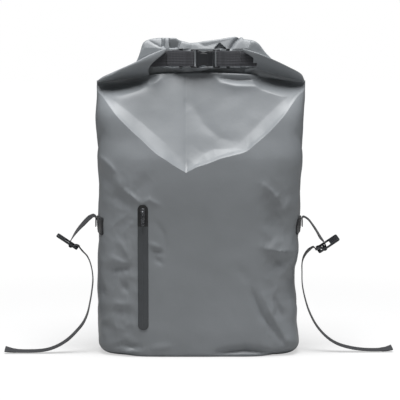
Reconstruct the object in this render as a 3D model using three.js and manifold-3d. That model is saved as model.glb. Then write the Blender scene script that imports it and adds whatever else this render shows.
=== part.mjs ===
// Rolltop backpack of coated cloth, standing on its base, with its mouth rolled and buckled in front.
// Millimetres, +Z up, the front looks towards -Y. The origin is the middle of the base.
import * as THREE from 'three';
import { mergeVertices } from 'three/addons/utils/BufferGeometryUtils.js';
import Module from 'manifold-3d';

const wasm = await Module();
wasm.setup();

// Driving dimensions of the body
const bodyWidth = 309;
const bodyDepth = 150;
const shoulderHeight = 402;
const throatRise = 12;
const cloth = 1.4;
const baseRound = 17;
const seamGap = 0.35;

// Driving dimensions of the rolled mouth
const rollHeight = 54.5;
const rollThickness = 38;
const leftArmReach = 50;
const rightArmReach = 59.5;
const armThickness = 40;

// Driving dimensions of the closure
const closureWebbing = 23;
const closureWebbingThickness = 1.5;
const closureAboveShoulder = 36.6;
const closureFront = 33;
const buckleLength = 24;
const buckleThickness = 9;
const buckleBar = 3.2;
const buckleBarDepth = 2.4;
const buckleSlot = 4.4;
const buckleFromMiddle = 5.4;
const femaleWall = 1.4;
const maleWall = 2.6;
const frameRail = 1.6;
const keeperWidth = 5;
const keeperThickness = 1.6;
const keeperFromFemaleBar = 16;
const keeperFromMaleBar = 13.5;
const keeperReach = 2.2;

// Driving dimensions of the zip
const zipFromMiddle = 84.2;
const zipWidth = 15.4;
const zipTop = 226.3;
const zipLength = 186;
const zipThickness = 1.1;
const sliderWidth = 7.4;
const sliderLength = 15;
const sliderThickness = 2.6;
const archWidth = 2.6;
const archLength = 8;
const archHeight = 3.6;
const pullLength = 19;
const pullWidth = 6.2;
const pullThickness = 1.3;
const pinClearance = 0.45;

// Driving dimensions of the side straps
const patchHeight = 30;
const patchWidth = 29;
const patchTop = 207;
const patchFromMiddle = 29.5;
const strapFromMiddle = 28;
const sideWebbing = 15;
const sideWebbingThickness = 1.2;
const strapReachLeft = 294;
const strapReachRight = 289;
const sideBuckleLength = 37;
const sideBuckleThickness = 3.2;
const sideBuckleBar = 3.4;

// Driving dimensions of the carrying straps on the back
const padWidth = 60;
const padThickness = 11;
const padSpread = 46;
const padStandOff = 40;
const padEndHeight = 168;
const padSplay = 35;
const yokeHeight = 32;
const yokeWidth = 168;
const yokeBelowShoulder = 30;
const carryWebbing = 20;
const carryWebbingThickness = 1.6;
const adjusterHeight = 28;
const adjusterThickness = 3.6;
const adjusterSlot = 7;
const adjusterGap = 2.4;
const anchorFromEdge = 56.5;
const anchorFromMiddle = bodyWidth / 2 - anchorFromEdge;
const anchorHeight = 46;
const anchorSize = 30;
const grabWidth = 22;
const grabSpan = 62;
const grabRise = 22;

// Materials
const materialOf = (colour, roughness, metalness = 0) => (
  new THREE.MeshStandardMaterial({ color: colour, roughness, metalness })
);
const coatedCloth = materialOf(0x74787b, 0.48);
const webbingCloth = materialOf(0x404145, 0.85);
const blackPlastic = materialOf(0x2d2f33, 0.4);
const zipStrip = materialOf(0x3f4245, 0.6);
const sliderMetal = materialOf(0x26282b, 0.35, 0.6);
const paddedCloth = materialOf(0x34363a, 0.9);

// Outline of the body from the front: half widths as shares of half the body width, up the shoulder height
const sideRows = [
  { up: 0.00, left: 0.985, right: 0.955 },
  { up: 0.06, left: 0.998, right: 0.965 },
  { up: 0.15, left: 1.004, right: 0.968 },
  { up: 0.24, left: 1.006, right: 0.960 },
  { up: 0.33, left: 0.998, right: 0.942 },
  { up: 0.43, left: 0.992, right: 0.955 },
  { up: 0.58, left: 0.996, right: 0.972 },
  { up: 0.70, left: 0.994, right: 0.978 },
  { up: 0.80, left: 1.000, right: 0.992 },
  { up: 0.88, left: 1.010, right: 1.002 },
  { up: 0.95, left: 1.008, right: 1.012 },
  { up: 1.00, left: 1.004, right: 1.014 },
];

// Outline of the body from the side: how far front and back stand out as shares of half the body depth
const depthRows = [
  { up: 0.00, front: 0.94, back: 0.90, square: 4.6 },
  { up: 0.10, front: 1.00, back: 0.92, square: 4.8 },
  { up: 0.30, front: 1.03, back: 0.93, square: 5.0 },
  { up: 0.55, front: 1.01, back: 0.92, square: 5.0 },
  { up: 0.70, front: 0.99, back: 0.90, square: 4.6 },
  { up: 0.80, front: 0.96, back: 0.84, square: 4.3 },
  { up: 0.88, front: 0.89, back: 0.70, square: 4.0 },
  { up: 0.93, front: 0.77, back: 0.56, square: 3.6 },
  { up: 0.97, front: 0.58, back: 0.42, square: 3.2 },
  { up: 1.00, front: 0.40, back: 0.31, square: 2.9 },
  { up: 1.04, front: 0.22, back: 0.22, square: 2.8 },
];

// The V crease across the front: across in half body widths from the middle, up in shoulder heights
const creaseRows = [
  { across: -1.000, up: 0.970 },
  { across: -0.860, up: 0.912 },
  { across: -0.690, up: 0.846 },
  { across: -0.586, up: 0.808 },
  { across: -0.420, up: 0.748 },
  { across: -0.336, up: 0.726 },
  { across: -0.232, up: 0.700 },
  { across: -0.136, up: 0.679 },
  { across: -0.030, up: 0.700 },
  { across: 0.084, up: 0.714 },
  { across: 0.190, up: 0.730 },
  { across: 0.295, up: 0.740 },
  { across: 0.400, up: 0.750 },
  { across: 0.505, up: 0.777 },
  { across: 0.605, up: 0.809 },
  { across: 0.750, up: 0.866 },
  { across: 0.890, up: 0.928 },
  { across: 1.000, up: 0.972 },
];
const backBend = 0.83;

// The facet above the crease leans back: a steep band beside the crease, then an even slope
const facetBandRise = 0.12;
const facetBandWidth = 0.030;
const facetSlope = 0.375;

// Dents (negative) and ridges (positive) of the front, each from one point to another:
// x in half body widths, z in shoulder heights, width in body widths, depth in body depths
const foldRows = [
  { name: 'ridge over the zip', x1: -0.50, z1: 0.565, x2: -0.36, z2: 0.612, width: 0.035, depth: 0.022 },
  { name: 'hollow over the zip', x1: -0.66, z1: 0.560, x2: -0.34, z2: 0.575, width: 0.050, depth: -0.028 },
  { name: 'crease of the left edge', x1: -0.98, z1: 0.740, x2: -0.82, z2: 0.680, width: 0.04, depth: -0.03 },
  { name: 'dimple left of the zip', x1: -0.84, z1: 0.380, x2: -0.78, z2: 0.220, width: 0.08, depth: -0.026 },
  { name: 'dent right of the zip', x1: -0.30, z1: 0.440, x2: -0.24, z2: 0.360, width: 0.060, depth: -0.020 },
  { name: 'dent of the right side', x1: 0.50, z1: 0.455, x2: 0.86, z2: 0.415, width: 0.060, depth: 0.030 },
  { name: 'hollow of the right side', x1: 0.66, z1: 0.385, x2: 0.90, z2: 0.330, width: 0.075, depth: -0.06 },
  { name: 'long valley of the right', x1: 0.32, z1: 0.235, x2: 0.58, z2: 0.050, width: 0.09, depth: -0.036 },
  { name: 'valley beside it', x1: 0.70, z1: 0.240, x2: 0.84, z2: 0.090, width: 0.060, depth: -0.032 },
  { name: 'low wrinkle of the left', x1: -0.80, z1: 0.04, x2: -0.52, z2: 0.062, width: 0.05, depth: -0.024 },
  { name: 'wedge above the crease', x1: -0.16, z1: 0.950, x2: -0.08, z2: 0.850, width: 0.07, depth: -0.016 },
  { name: 'hollow of the left arm', x1: -0.90, z1: 0.978, x2: -0.40, z2: 1.000, width: 0.05, depth: -0.05 },
  { name: 'hollow of the right arm', x1: 0.42, z1: 1.000, x2: 0.92, z2: 0.976, width: 0.05, depth: -0.05 },
];

// The raised run of the roll and its drooping ends: across in half body widths, top and low in roll
// heights above the shoulders, front and back in roll thicknesses
const rollRows = [
  { across: -0.995, top: 0.060, low: 0.022, front: 0.16, back: 0.16 },
  { across: -0.93, top: 0.150, low: 0.030, front: 0.30, back: 0.36 },
  { across: -0.82, top: 0.275, low: 0.048, front: 0.34, back: 0.48 },
  { across: -0.67, top: 0.500, low: 0.090, front: 0.38, back: 0.54 },
  { across: -0.62, top: 0.740, low: 0.120, front: 0.40, back: 0.56 },
  { across: -0.54, top: 1.110, low: 0.150, front: 0.42, back: 0.58 },
  { across: -0.44, top: 1.165, low: 0.180, front: 0.43, back: 0.58 },
  { across: -0.28, top: 1.180, low: 0.205, front: 0.44, back: 0.58 },
  { across: -0.08, top: 1.040, low: 0.232, front: 0.44, back: 0.57 },
  { across: 0.12, top: 1.130, low: 0.232, front: 0.44, back: 0.57 },
  { across: 0.35, top: 1.235, low: 0.205, front: 0.43, back: 0.58 },
  { across: 0.42, top: 1.140, low: 0.190, front: 0.42, back: 0.58 },
  { across: 0.55, top: 1.050, low: 0.150, front: 0.42, back: 0.58 },
  { across: 0.65, top: 0.780, low: 0.110, front: 0.40, back: 0.56 },
  { across: 0.72, top: 0.560, low: 0.090, front: 0.38, back: 0.52 },
  { across: 0.82, top: 0.420, low: 0.060, front: 0.34, back: 0.46 },
  { across: 0.95, top: 0.180, low: 0.030, front: 0.28, back: 0.34 },
  { across: 1.005, top: 0.060, low: 0.022, front: 0.16, back: 0.16 },
];

// The arms, folded forward from the outer corners to their tips over the webbing. Across in half body
// widths, ridge and low in roll heights above the shoulders, front and back in arm thicknesses
const leftArmRows = [
  { across: -1.000, ridge: 0.055, low: 0.022, front: 0.20, back: 0.12 },
  { across: -0.960, ridge: 0.155, low: 0.024, front: 0.60, back: 0.12 },
  { across: -0.840, ridge: 0.310, low: 0.030, front: 1.05, back: 0.10 },
  { across: -0.633, ridge: 0.570, low: 0.060, front: 1.22, back: 0.05 },
  { across: -0.480, ridge: 0.780, low: 0.140, front: 1.16, back: -0.10 },
  { across: -0.330, ridge: 0.950, low: 0.250, front: 1.02, back: -0.46 },
  { across: -0.300, ridge: 0.975, low: 0.300, front: 0.98, back: -0.58 },
];
const rightArmRows = [
  { across: 1.008, ridge: 0.055, low: 0.022, front: 0.20, back: 0.12 },
  { across: 0.970, ridge: 0.255, low: 0.024, front: 0.60, back: 0.12 },
  { across: 0.855, ridge: 0.440, low: 0.030, front: 1.05, back: 0.10 },
  { across: 0.652, ridge: 0.700, low: 0.060, front: 1.22, back: 0.05 },
  { across: 0.540, ridge: 0.825, low: 0.140, front: 1.16, back: -0.10 },
  { across: 0.400, ridge: 0.955, low: 0.250, front: 1.02, back: -0.46 },
  { across: 0.370, ridge: 0.980, low: 0.300, front: 0.98, back: -0.58 },
];

// Where the arms end, from the tip down: across in half body widths, up in roll heights
const leftArmEnd = [
  { across: -0.325, up: 0.900 },
  { across: -0.497, up: 0.330 },
  { across: -0.440, up: -0.100 },
];
const rightArmEnd = [
  { across: 0.400, up: 0.920 },
  { across: 0.505, up: 0.670 },
  { across: 0.490, up: 0.400 },
  { across: 0.424, up: 0.330 },
  { across: 0.400, up: -0.100 },
];

// Routes of the side straps from the patch over the buckle's bar to the free end. Out is the share of the
// way from the patch to the strap's reach, up the share of the patch's top height, turn is in degrees
const leftStrapRows = [
  { out: 0.000, up: 0.905, turn: 0 },
  { out: 0.000, up: 0.965, turn: 0 },
  { out: 0.020, up: 0.997, turn: 0 },
  { out: 0.048, up: 0.990, turn: 4 },
  { out: 0.085, up: 0.958, turn: 10 },
  { out: 0.133, up: 0.920, turn: 12 },
  { out: 0.180, up: 0.880, turn: 8 },
  { out: 0.222, up: 0.842, turn: 3 },
];
const leftTailRows = [
  { out: 0.262, up: 0.787, turn: 0 },
  { out: 0.225, up: 0.781, turn: 6 },
  { out: 0.185, up: 0.757, turn: 12 },
  { out: 0.142, up: 0.716, turn: 16 },
  { out: 0.096, up: 0.686, turn: 14 },
  { out: 0.070, up: 0.648, turn: 10 },
  { out: 0.052, up: 0.580, turn: 8 },
  { out: 0.050, up: 0.510, turn: 8 },
  { out: 0.057, up: 0.430, turn: 8 },
  { out: 0.076, up: 0.345, turn: 8 },
  { out: 0.103, up: 0.254, turn: 8 },
  { out: 0.150, up: 0.182, turn: 8 },
  { out: 0.222, up: 0.116, turn: 6 },
  { out: 0.318, up: 0.063, turn: 5 },
  { out: 0.425, up: 0.031, turn: 4 },
  { out: 0.540, up: 0.016, turn: 4 },
  { out: 0.720, up: 0.012, turn: 6 },
  { out: 0.890, up: 0.016, turn: 12 },
  { out: 1.000, up: 0.032, turn: 32 },
];
const rightStrapRows = [
  { out: 0.000, up: 0.890, turn: 0 },
  { out: 0.000, up: 0.950, turn: 0 },
  { out: 0.020, up: 0.984, turn: 0 },
  { out: 0.048, up: 0.972, turn: 4 },
  { out: 0.092, up: 0.928, turn: 10 },
  { out: 0.140, up: 0.878, turn: 12 },
  { out: 0.182, up: 0.826, turn: 8 },
];
const rightTailRows = [
  { out: 0.190, up: 0.762, turn: 0 },
  { out: 0.142, up: 0.762, turn: 6 },
  { out: 0.098, up: 0.742, turn: 12 },
  { out: 0.066, up: 0.706, turn: 14 },
  { out: 0.044, up: 0.655, turn: 12 },
  { out: 0.038, up: 0.600, turn: 10 },
  { out: 0.040, up: 0.535, turn: 8 },
  { out: 0.050, up: 0.445, turn: 8 },
  { out: 0.076, up: 0.345, turn: 8 },
  { out: 0.116, up: 0.250, turn: 8 },
  { out: 0.180, up: 0.165, turn: 8 },
  { out: 0.272, up: 0.104, turn: 6 },
  { out: 0.375, up: 0.060, turn: 5 },
  { out: 0.480, up: 0.042, turn: 4 },
  { out: 0.590, up: 0.026, turn: 4 },
  { out: 0.730, up: 0.020, turn: 6 },
  { out: 0.890, up: 0.022, turn: 12 },
  { out: 1.000, up: 0.034, turn: 28 },
];
const strapBackAtTail = 42;

// Grid of the body: columns round it and rows up it
const frontColumns = 36;
const sideColumns = 5;
const backColumns = 12;
const roundRows = 3;
const lowerRows = 12;
const upperRows = 8;

const halfWidth = bodyWidth / 2;
const halfDepth = bodyDepth / 2;
const throatHeight = shoulderHeight + throatRise;

const mix = (a, b, t) => a + (b - a) * t;
const clamp = (t) => Math.min(1, Math.max(0, t));
const smooth = (t) => clamp(t) * clamp(t) * (3 - 2 * clamp(t));

// Value of a table's column at a place between its rows, on a smooth curve that doesn't overshoot
function lookUp(rows, by, column, at) {
  const forward = rows[rows.length - 1][by] > rows[0][by];
  const list = forward ? rows : [...rows].reverse();
  const place = Math.min(Math.max(at, list[0][by]), list[list.length - 1][by]);
  let i = 0;
  while (i < list.length - 2 && place > list[i + 1][by]) i += 1;
  const rise = (k) => (list[k + 1][column] - list[k][column]) / (list[k + 1][by] - list[k][by]);
  const slope = (k) => {
    if (k === 0) return rise(0);
    if (k === list.length - 1) return rise(k - 1);
    const before = rise(k - 1);
    const after = rise(k);
    return before * after <= 0 ? 0 : (2 * before * after) / (before + after);
  };
  const span = list[i + 1][by] - list[i][by];
  const t = (place - list[i][by]) / span;
  const start = list[i][column] * (1 + 2 * t) * (1 - t) ** 2 + slope(i) * span * t * (1 - t) ** 2;
  return start + list[i + 1][column] * t * t * (3 - 2 * t) + slope(i + 1) * span * t * t * (t - 1);
}

// How far the folds push the front out at a point of it
function foldAt(x, z) {
  let push = 0;
  for (const fold of foldRows) {
    const ax = fold.x1 * halfWidth;
    const az = fold.z1 * shoulderHeight;
    const bx = fold.x2 * halfWidth - ax;
    const bz = fold.z2 * shoulderHeight - az;
    const along = clamp(((x - ax) * bx + (z - az) * bz) / (bx * bx + bz * bz));
    const away = Math.hypot(x - ax - along * bx, z - az - along * bz);
    push += fold.depth * bodyDepth * Math.exp(-((away / (fold.width * bodyWidth * 0.5)) ** 2));
  }
  return push;
}

// Places round the body as points of a square, p across and q from front (-1) to back (1)
function squarePlaces() {
  const places = [];
  for (let i = 0; i < frontColumns; i += 1) places.push([-1 + (2 * i) / frontColumns, -1]);
  for (let i = 0; i < sideColumns; i += 1) places.push([1, -1 + (2 * i) / sideColumns]);
  for (let i = 0; i < backColumns; i += 1) places.push([1 - (2 * i) / backColumns, 1]);
  for (let i = 0; i < sideColumns; i += 1) places.push([-1, 1 - (2 * i) / sideColumns]);
  return places;
}

const squareToRound = (p, q, square) => (Math.abs(p) ** square + Math.abs(q) ** square) ** (-1 / square);

// Height of the bend that each column has: the V crease in front, a soft bend behind
function bendHeight(p, q) {
  const across = p * squareToRound(p, q, 4);
  const crease = lookUp(creaseRows, 'across', 'up', across);
  const toBack = smooth((q + 0.3) / 1.1);
  return mix(crease, backBend, toBack) * shoulderHeight;
}

const rimHeight = (share) => mix(throatHeight, shoulderHeight, Math.min(1, share * share));

// A point of the body's outline without facet, drawn in by the inset
function outlinePoint(p, q, z, inset) {
  const up = z / shoulderHeight;
  const across = lookUp(sideRows, 'up', p < 0 ? 'left' : 'right', up) * halfWidth - inset;
  const out = lookUp(depthRows, 'up', q < 0 ? 'front' : 'back', up) * halfDepth - inset;
  const share = squareToRound(p, q, lookUp(depthRows, 'up', 'square', up));
  return [across * p * share, out * q * share];
}

// Height of the facet's lean behind the crease
function facetLean(rise) {
  const band = facetBandRise * halfDepth * (1 - Math.exp(-rise / (facetBandWidth * shoulderHeight)));
  return band + facetSlope * rise;
}

// A point of the body, thin 0 on the outer face and the cloth's thickness on the inner one
function bodyPoint(p, q, z, bend, thin, inset) {
  const [x, y] = outlinePoint(p, q, z, thin + inset);
  if (q >= 0) return [x, y, z];
  const towardsFront = smooth(-q * squareToRound(p, q, 4) * 1.6);
  let front = y;
  if (z > bend) {
    const atBend = outlinePoint(p, q, bend, thin)[1];
    front = Math.max(front, atBend + facetLean(z - bend) * towardsFront);
  }
  return [x, Math.min(front - foldAt(x, z) * towardsFront, -2), z];
}

// Heights and insets of a column's rows, from the base to the rim
function columnRows(p, q, thin) {
  const round = baseRound - thin;
  const bend = bendHeight(p, q);
  const rim = rimHeight(Math.abs(p) * squareToRound(p, q, 4));
  const rows = [];
  for (let k = 0; k < roundRows; k += 1) {
    const turn = (Math.PI / 2) * (k / roundRows);
    rows.push({ z: thin + round * (1 - Math.cos(turn)), inset: round * (1 - Math.sin(turn)) });
  }
  for (let k = 0; k <= lowerRows; k += 1) rows.push({ z: mix(baseRound, bend, k / lowerRows), inset: 0 });
  for (let k = 1; k <= upperRows; k += 1) {
    rows.push({ z: mix(bend, rim, (k / upperRows) ** 1.25), inset: 0 });
  }
  return { bend, rows };
}

// Grid of the body's points, one list of columns for each row
function bodyGrid(thin) {
  const columns = squarePlaces().map(([p, q]) => {
    const { bend, rows } = columnRows(p, q, thin);
    return rows.map(({ z, inset }) => bodyPoint(p, q, z, bend, thin, inset));
  });
  return columns[0].map((unused, row) => columns.map((column) => column[row]));
}

// A geometry from points and triangles
function geometryOf(points, triangles) {
  const geometry = new THREE.BufferGeometry();
  geometry.setAttribute('position', new THREE.Float32BufferAttribute(points.flat(), 3));
  geometry.setIndex(triangles.flat());
  return geometry;
}

// Joins two rings of equal length whose first points start at the given indices
function bridge(triangles, lower, upper, count) {
  for (let i = 0; i < count; i += 1) {
    const next = (i + 1) % count;
    triangles.push([lower + i, lower + next, upper + next], [lower + i, upper + next, upper + i]);
  }
}

// Rings of points joined into a tube with both ends closed by a fan; the rings turn to the left of the way
function loft(rings) {
  const count = rings[0].length;
  const points = rings.flat();
  const triangles = [];
  for (let r = 0; r < rings.length - 1; r += 1) bridge(triangles, r * count, (r + 1) * count, count);
  const middle = (ring) => [0, 1, 2].map((k) => ring.reduce((sum, point) => sum + point[k], 0) / count);
  points.push(middle(rings[0]), middle(rings[rings.length - 1]));
  const last = (rings.length - 1) * count;
  for (let i = 0; i < count; i += 1) {
    const next = (i + 1) % count;
    triangles.push([points.length - 2, next, i], [points.length - 1, last + i, last + next]);
  }
  return geometryOf(points, triangles);
}

// The hollow body: outer face, inner face, both bases and the rim of the throat
function shellGeometry() {
  const outer = bodyGrid(0);
  const inner = bodyGrid(cloth);
  const count = outer[0].length;
  const points = [...outer.flat(), ...inner.flat()];
  const triangles = [];
  const innerStart = outer.length * count;
  for (let r = 0; r < outer.length - 1; r += 1) bridge(triangles, r * count, (r + 1) * count, count);
  const faces = [];
  for (let r = 0; r < inner.length - 1; r += 1) {
    bridge(faces, innerStart + r * count, innerStart + (r + 1) * count, count);
  }
  triangles.push(...faces.map(([a, b, c]) => [a, c, b]));
  bridge(triangles, innerStart - count, innerStart + (inner.length - 1) * count, count);
  points.push([0, 0, 0], [0, 0, cloth]);
  for (let i = 0; i < count; i += 1) {
    const next = (i + 1) % count;
    triangles.push([points.length - 2, next, i], [points.length - 1, innerStart + i, innerStart + next]);
  }
  return geometryOf(points, triangles);
}

// Solids for cutting and joining
function solidOf(geometry) {
  const bare = geometry.clone();
  bare.deleteAttribute('normal');
  bare.deleteAttribute('uv');
  const merged = mergeVertices(bare, 1e-4);
  const vertProperties = new Float32Array(merged.attributes.position.array);
  const triVerts = new Uint32Array(merged.index.array);
  return new wasm.Manifold(new wasm.Mesh({ numProp: 3, vertProperties, triVerts }));
}

function geometryFrom(solid) {
  const mesh = solid.getMesh();
  const geometry = new THREE.BufferGeometry();
  geometry.setAttribute('position', new THREE.BufferAttribute(new Float32Array(mesh.vertProperties), 3));
  geometry.setIndex(new THREE.BufferAttribute(new Uint32Array(mesh.triVerts), 1));
  return geometry;
}

// A prism through the depth, from an outline in the front view
function prism(outline, near, far, holes = []) {
  const shape = new THREE.Shape(outline.map(([x, z]) => new THREE.Vector2(x, z)));
  for (const hole of holes) shape.holes.push(new THREE.Path(hole.map(([x, z]) => new THREE.Vector2(x, z))));
  const geometry = new THREE.ExtrudeGeometry(shape, { depth: far - near, bevelEnabled: false });
  geometry.rotateX(Math.PI / 2);
  geometry.translate(0, far, 0);
  return geometry;
}

// Ring of a rounded section in the depth and height at one place across
function sectionRing(x, near, far, low, top, lean, square, count) {
  const ring = [];
  for (let i = 0; i < count; i += 1) {
    const turn = (2 * Math.PI * i) / count;
    const c = Math.cos(turn);
    const s = Math.sin(turn);
    const share = (Math.abs(c) ** square + Math.abs(s) ** square) ** (-1 / square);
    const up = s * share;
    const y = (near + far) / 2 + (c * share * (far - near)) / 2 + lean * up * (far - near);
    ring.push([x, y, (low + top) / 2 + (up * (top - low)) / 2]);
  }
  return ring;
}

const rollFloor = (share) => rimHeight(Math.min(1, Math.abs(share))) + seamGap;

// The raised run with its drooping ends
function rollRun() {
  const stations = 40;
  const rings = [];
  const first = rollRows[0].across;
  const last = rollRows[rollRows.length - 1].across;
  for (let i = 0; i <= stations; i += 1) {
    const across = mix(first, last, i / stations);
    const at = (column) => lookUp(rollRows, 'across', column, across);
    const low = Math.max(rollFloor(across), shoulderHeight + at('low') * rollHeight);
    const top = Math.max(low + 2, shoulderHeight + at('top') * rollHeight);
    const lean = 0.16 * smooth((top - low - 12) / 30);
    const near = -at('front') * rollThickness;
    const far = at('back') * rollThickness;
    rings.push(sectionRing(across * halfWidth, near, far, low, top, lean, 2.6, 12));
  }
  return solidOf(loft(rings));
}

// One arm from the outer corner to its tip, with the end cut along the outline of its fold
function rollArm(rows, ends, side) {
  const stations = 16;
  const rings = [];
  const first = rows[0].across;
  const last = rows[rows.length - 1].across;
  for (let i = 0; i <= stations; i += 1) {
    const across = mix(first, last, i / stations);
    const at = (column) => lookUp(rows, 'across', column, across);
    const low = Math.max(rollFloor(across), shoulderHeight + at('low') * rollHeight);
    const top = Math.max(low + 1.5, shoulderHeight + at('ridge') * rollHeight);
    const ring = sectionRing(across * halfWidth, -at('front') * armThickness, at('back') * armThickness,
      low, top, 0, 2.4, 12);
    rings.push(ring);
  }
  const body = solidOf(loft(side < 0 ? rings : rings.reverse()));
  const edge = ends.map(({ across, up }) => [across * halfWidth, shoulderHeight + up * rollHeight]);
  const above = edge[0][1] + rollHeight;
  const outline = [...edge, [0, edge[edge.length - 1][1]], [0, above], [edge[0][0], above]];
  const cut = prism(side < 0 ? outline : outline.reverse(), -2 * armThickness, armThickness);
  return body.subtract(solidOf(cut));
}

function rolledMouthGeometry() {
  const run = rollRun();
  const left = rollArm(leftArmRows, leftArmEnd, -1);
  const right = rollArm(rightArmRows, rightArmEnd, 1);
  return geometryFrom(run.add(left).add(right));
}

// A flat ribbon along points in space; each row's width points along the depth, turned about the way
function ribbon(stops, width, thickness) {
  const rings = stops.map((stop, i) => {
    const before = stops[Math.max(0, i - 1)];
    const after = stops[Math.min(stops.length - 1, i + 1)];
    const way = new THREE.Vector3(after.x - before.x, after.y - before.y, after.z - before.z).normalize();
    const across = new THREE.Vector3(stop.wx ?? 0, stop.wy ?? 1, stop.wz ?? 0);
    across.addScaledVector(way, -across.dot(way)).normalize();
    across.applyAxisAngle(way, THREE.MathUtils.degToRad(stop.turn ?? 0));
    const out = new THREE.Vector3().crossVectors(way, across);
    return [[-1, -1], [1, -1], [1, 1], [-1, 1]].map(([a, b]) => [
      stop.x + (across.x * a * width + out.x * b * thickness) / 2,
      stop.y + (across.y * a * width + out.y * b * thickness) / 2,
      stop.z + (across.z * a * width + out.z * b * thickness) / 2,
    ]);
  });
  return loft(rings);
}

// Stops along a smooth curve through the given stops
function smoothStops(stops, steps) {
  const places = stops.map((stop) => new THREE.Vector3(stop.x, stop.y, stop.z));
  const curve = new THREE.CatmullRomCurve3(places, false, 'centripetal');
  const list = [];
  for (let i = 0; i <= steps; i += 1) {
    const place = curve.getPoint(i / steps);
    const share = (i / steps) * (stops.length - 1);
    const k = Math.min(stops.length - 2, Math.floor(share));
    const turn = mix(stops[k].turn ?? 0, stops[k + 1].turn ?? 0, share - k);
    list.push({ ...stops[0], x: place.x, y: place.y, z: place.z, turn });
  }
  return list;
}

// Where a straight line first meets the body
function seatFinder(shell) {
  const caster = new THREE.Raycaster();
  const target = new THREE.Mesh(shell, new THREE.MeshBasicMaterial({ side: THREE.DoubleSide }));
  target.updateMatrixWorld(true);
  return (x, y, z, dx, dy) => {
    caster.set(new THREE.Vector3(x, y, z), new THREE.Vector3(dx, dy, 0));
    return caster.intersectObject(target)[0].point;
  };
}

const shellForm = shellGeometry();
const findSeat = seatFinder(shellForm);
const farAway = 2 * bodyWidth;
const seatFront = (x, z) => findSeat(x, -farAway, z, 0, 1).y;
const seatBack = (x, z) => findSeat(x, farAway, z, 0, -1).y;
const seatSide = (side, y, z) => findSeat(side * farAway, y, z, -side, 0).x;

// A thin patch that follows the body: place gives its point at across and up, both from -1 to 1,
// on the given layer (0 next to the body, 1 outside)
function patch(place, acrossSteps, upSteps) {
  const points = [];
  const triangles = [];
  const count = acrossSteps + 1;
  const sheet = count * (upSteps + 1);
  for (const layer of [0, 1]) {
    for (let r = 0; r <= upSteps; r += 1) {
      for (let c = 0; c <= acrossSteps; c += 1) {
        points.push(place(-1 + (2 * c) / acrossSteps, -1 + (2 * r) / upSteps, layer));
      }
    }
  }
  for (let r = 0; r < upSteps; r += 1) {
    for (let c = 0; c < acrossSteps; c += 1) {
      const i = r * count + c;
      const faces = [[i, i + 1, i + 1 + count], [i, i + 1 + count, i + count]];
      for (const [a, b, d] of faces) triangles.push([sheet + a, sheet + b, sheet + d], [a, d, b]);
    }
  }
  const edge = [];
  for (let c = 0; c < acrossSteps; c += 1) edge.push(c);
  for (let r = 0; r < upSteps; r += 1) edge.push(r * count + acrossSteps);
  for (let c = acrossSteps; c > 0; c -= 1) edge.push(upSteps * count + c);
  for (let r = upSteps; r > 0; r -= 1) edge.push(r * count);
  edge.forEach((a, i) => {
    const b = edge[(i + 1) % edge.length];
    triangles.push([a, b, sheet + b], [a, sheet + b, sheet + a]);
  });
  return geometryOf(points, triangles);
}

// The strip of the zip, with round ends
const zipMiddleHeight = zipTop - zipLength / 2;
function zipTapeGeometry() {
  const place = (across, up, layer) => {
    const end = zipLength / 2 - Math.abs(up) * (zipLength / 2);
    const reach = zipWidth / 2;
    const narrow = end < reach ? Math.sqrt(Math.max(0.16, 1 - ((reach - end) / reach) ** 2)) : 1;
    const x = -zipFromMiddle + (across * zipWidth * narrow) / 2;
    const z = zipMiddleHeight + (up * zipLength) / 2;
    return [x, seatFront(x, z) - seamGap - layer * zipThickness, z];
  };
  return patch(place, 3, 26);
}

// The slider with its arch, standing on the strip near its top
const sliderMiddle = zipTop - 5.5 - sliderLength / 2;
const sliderSeat = Math.min(seatFront(-zipFromMiddle, sliderMiddle + sliderLength / 2),
  seatFront(-zipFromMiddle, sliderMiddle), seatFront(-zipFromMiddle, sliderMiddle - sliderLength / 2))
  - zipThickness - 2 * seamGap;
const pinHole = pullThickness + 2 * pinClearance;
const pinHeight = sliderMiddle;
const pinFront = sliderSeat - sliderThickness - 0.4 - pinHole / 2;

function zipSliderGeometry() {
  const half = sliderWidth / 2;
  const low = sliderMiddle - sliderLength / 2;
  const top = sliderMiddle + sliderLength / 2;
  const waist = half * 0.7;
  const neck = half * 0.6;
  const foot = [[-half, top - 3], [-waist, low], [waist, low], [half, top - 3]];
  const outline = [...foot, [neck, top], [-neck, top]];
  const shifted = outline.map(([x, z]) => [x - zipFromMiddle, z]);
  const plate = solidOf(prism(shifted, sliderSeat - sliderThickness, sliderSeat));
  const sunk = sliderSeat - sliderThickness + 0.6;
  const crown = sliderSeat - sliderThickness - archHeight;
  const profile = new THREE.Shape();
  profile.moveTo(sunk, pinHeight - archLength / 2);
  profile.lineTo(sunk, pinHeight + archLength / 2);
  profile.lineTo(crown + 1, pinHeight + archLength / 2 - 1);
  profile.lineTo(crown, pinHeight + archLength / 2 - 3);
  profile.lineTo(crown, pinHeight - archLength / 2 + 3);
  profile.lineTo(crown + 1, pinHeight - archLength / 2 + 1);
  const hole = new THREE.Path();
  hole.absarc(pinFront, pinHeight, pinHole / 2 + pinClearance, 0, 2 * Math.PI, true);
  profile.holes.push(hole);
  const settings = { depth: archWidth, bevelEnabled: false, curveSegments: 5 };
  const arch = new THREE.ExtrudeGeometry(profile, settings);
  arch.rotateY(Math.PI / 2);
  arch.rotateX(Math.PI / 2);
  arch.translate(-zipFromMiddle - archWidth / 2, 0, 0);
  return geometryFrom(plate.add(solidOf(arch)));
}

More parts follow.
